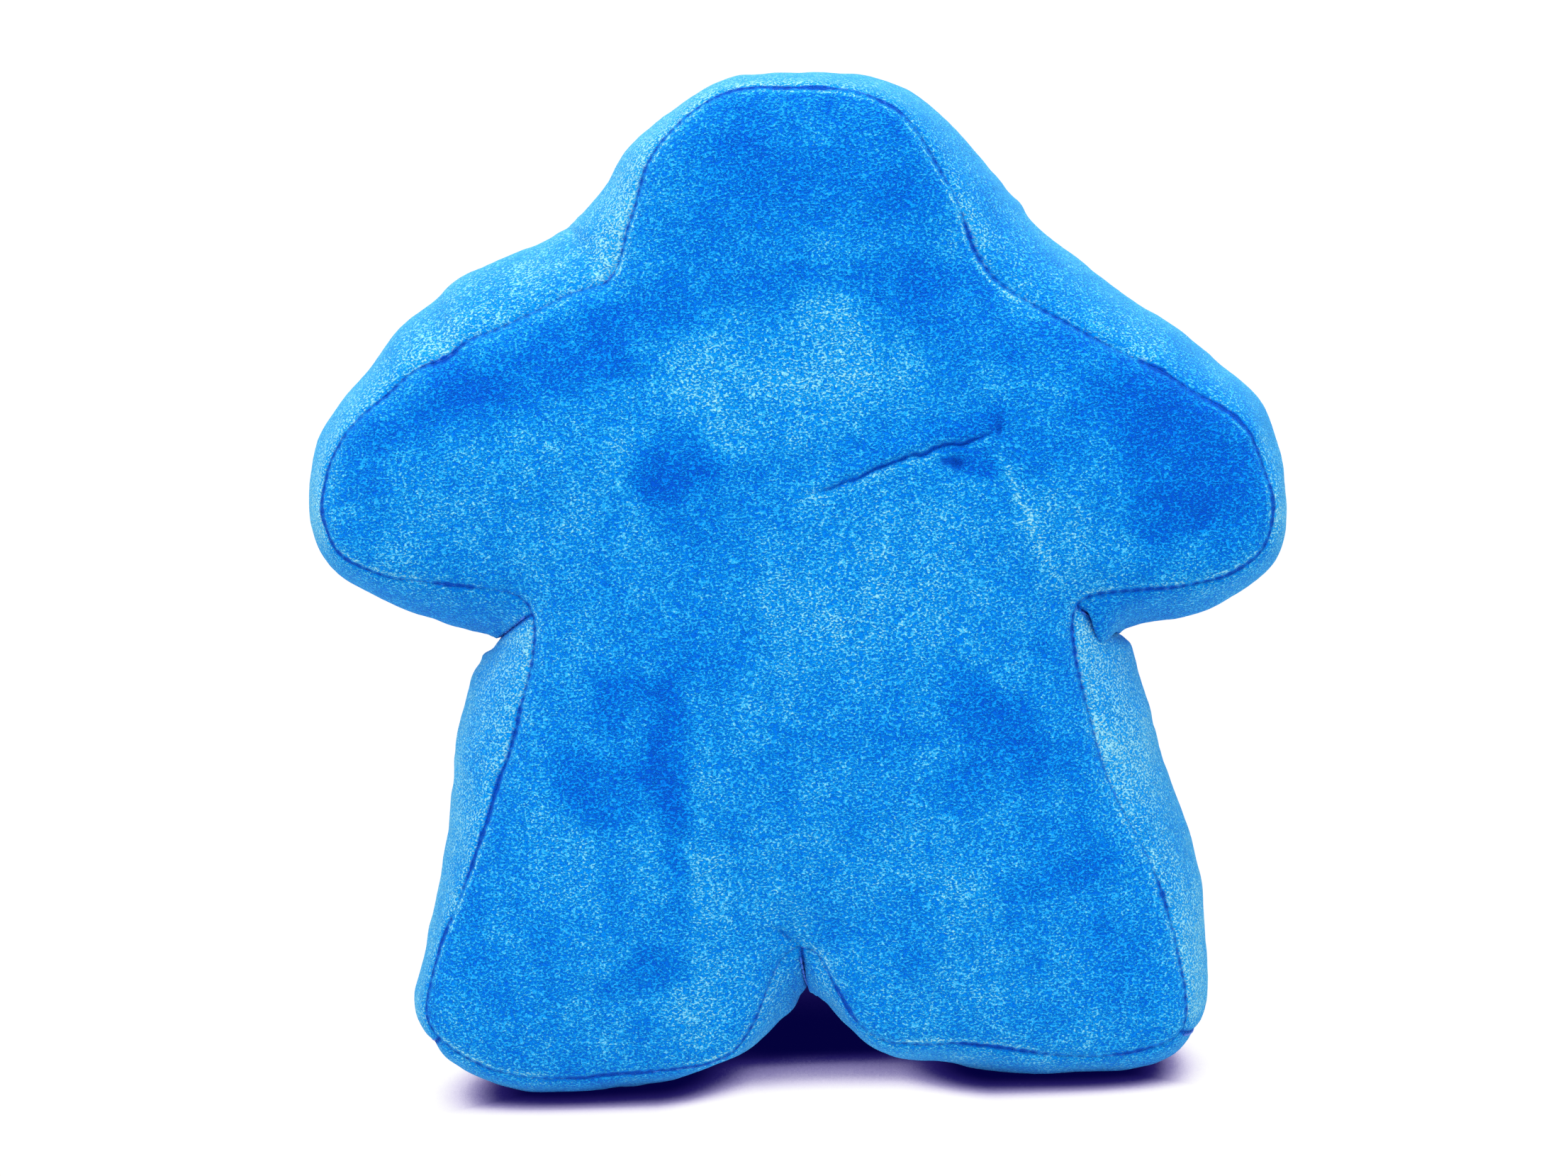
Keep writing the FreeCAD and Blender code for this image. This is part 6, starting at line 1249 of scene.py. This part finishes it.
# ------------------------------------------------------- floor, light, camera
WORLD = 0.62
bpy.ops.mesh.primitive_plane_add(size=6.0, location=(0, 1.2, -0.0005))
floor = bpy.context.object
floor.name = "floor"
fm, fnt, fb = material("floor_painted_shadow")
# The floor glows white and carries a painted shadow: ambient occlusion, lifted in front, at the sides and between the
# feet and pulled down in a strip behind the legs, runs through a navy to lavender to white ramp.
ao = node(fnt, "ShaderNodeAmbientOcclusion", samples=16)
ao.inputs["Distance"].default_value = 0.30
shade = node(fnt, "ShaderNodeValToRGB")
shade.color_ramp.interpolation = "EASE"
shade.color_ramp.elements[0].position, shade.color_ramp.elements[0].color = 0.16, srgb(4, 2, 58)
shade.color_ramp.elements[1].position, shade.color_ramp.elements[1].color = 0.86, (1.0, 1.0, 1.0, 1.0)
for pos, col in ((0.38, (34, 26, 96)), (0.56, (132, 124, 176)), (0.70, (222, 216, 242))):
    el = shade.color_ramp.elements.new(pos)
    el.color = srgb(*col)
ftc = node(fnt, "ShaderNodeTexCoord")
fsep = node(fnt, "ShaderNodeSeparateXYZ")
fnt.links.new(ftc.outputs["Object"], fsep.inputs[0])


def ramp_up(value, lo, hi, out):
    r = node(fnt, "ShaderNodeMapRange", interpolation_type="SMOOTHSTEP")
    fnt.links.new(value, r.inputs["Value"])
    r.inputs["From Min"].default_value = lo
    r.inputs["From Max"].default_value = hi
    r.inputs["To Max"].default_value = out
    return r.outputs["Result"]


ahead = ramp_up(math_node(fnt, "MULTIPLY", math_node(fnt, "ADD", fsep.outputs["Y"], 1.2), -1.0), -0.005, 0.050, 0.43)
aside = ramp_up(math_node(fnt, "ABSOLUTE", fsep.outputs["X"]), 0.07, 0.12, 0.36)
lift_ao = math_node(fnt, "MAXIMUM", ahead, aside)
yy = math_node(fnt, "ADD", fsep.outputs["Y"], 1.2)
behind = math_node(fnt, "MULTIPLY", ramp_up(yy, 0.004, 0.046, 1.0), math_node(fnt, "SUBTRACT", 1.0, ramp_up(yy, 0.125, 0.165, 1.0)))
behind = math_node(fnt, "MULTIPLY", behind, math_node(fnt, "SUBTRACT", 1.0, ramp_up(math_node(fnt, "ABSOLUTE", fsep.outputs["X"]), 0.014, 0.044, 1.0)))
between = math_node(fnt, "MULTIPLY", ramp_up(math_node(fnt, "MULTIPLY", yy, -1.0), -0.046, 0.004, 1.0), math_node(fnt, "SUBTRACT", 1.0, ramp_up(math_node(fnt, "ABSOLUTE", fsep.outputs["X"]), 0.020, 0.050, 1.0)))
lift_ao = math_node(fnt, "ADD", lift_ao, math_node(fnt, "MULTIPLY", between, 0.42))
# the shade behind the legs is only seen from in front
fgeo = node(fnt, "ShaderNodeNewGeometry")
fin = node(fnt, "ShaderNodeSeparateXYZ")
fnt.links.new(fgeo.outputs["Incoming"], fin.inputs[0])
behind = math_node(fnt, "MULTIPLY", behind, ramp_up(math_node(fnt, "MULTIPLY", fin.outputs["Y"], -1.0), 0.66, 0.92, 1.0))
lift_ao = math_node(fnt, "SUBTRACT", lift_ao, math_node(fnt, "MULTIPLY", behind, 0.50))
fnt.links.new(math_node(fnt, "ADD", ao.outputs["AO"], lift_ao), shade.inputs["Fac"])
fem = node(fnt, "ShaderNodeEmission", in_Strength=1.03)
fnt.links.new(shade.outputs["Color"], fem.inputs["Color"])
fnt.links.new(fem.outputs[0], fnt.nodes["Material Output"].inputs["Surface"])
floor.data.materials.append(fm)

world = bpy.data.worlds.new("studio")
bpy.context.scene.world = world
world.use_nodes = True
wnt = world.node_tree
bg = wnt.nodes["Background"]
bg.inputs["Color"].default_value = (1, 1, 1, 1)
lp = node(wnt, "ShaderNodeLightPath")
seen = math_node(wnt, "MULTIPLY", lp.outputs["Is Camera Ray"], 1.05 - WORLD)
wnt.links.new(math_node(wnt, "ADD", seen, WORLD), bg.inputs["Strength"])


def area(name, loc, target, size, power, color=(1, 1, 1)):
    d = bpy.data.lights.new(name, "AREA")
    d.shape = "RECTANGLE"
    d.size, d.size_y = size
    d.energy = power
    d.color = color
    o = bpy.data.objects.new(name, d)
    o.location = loc
    v = Vector(target) - Vector(loc)
    o.rotation_euler = v.to_track_quat("-Z", "Y").to_euler()
    bpy.context.scene.collection.objects.link(o)
    return o


area("key", (-0.25, -1.0, 1.35), (0, 0, 0.15), (1.3, 0.9), 13.0)
area("top", (0.1, 0.25, 1.5), (0, 0, 0.15), (1.4, 1.0), 12.0)
area("side", (1.2, -0.5, 0.6), (0, 0, 0.15), (0.8, 1.0), 3.6)
area("fill", (-1.3, -0.3, 0.4), (0, 0, 0.12), (0.8, 1.0), 3.4)

cam_d = bpy.data.cameras.new("camera")
cam = bpy.data.objects.new("camera", cam_d)
bpy.context.scene.collection.objects.link(cam)
bpy.context.scene.camera = cam
cam_d.sensor_width = 36.0
cam_d.lens = 36.0 * 800.0 / 442.4
cam_d.clip_start = 0.05
az, el, roll = math.radians(2.5), math.radians(4.0), math.radians(2.6)
look = Vector((-math.sin(az) * math.cos(el), math.cos(az) * math.cos(el), -math.sin(el)))
right = Vector((math.cos(az), math.sin(az), 0))
up = right.cross(look)
rr = right * math.cos(roll) - up * math.sin(roll)
uu = right * math.sin(roll) + up * math.cos(roll)
pos = Vector((-4.83, -39.0, 148.0)) * MM - look * 0.8
M = Matrix((rr, uu, -look)).transposed().to_4x4()
M.translation = pos
cam.matrix_world = M

sc = bpy.context.scene
sc.view_settings.view_transform = "Standard"
sc.view_settings.look = "None"
sc.view_settings.exposure = 0.0
sc.view_settings.gamma = 1.0
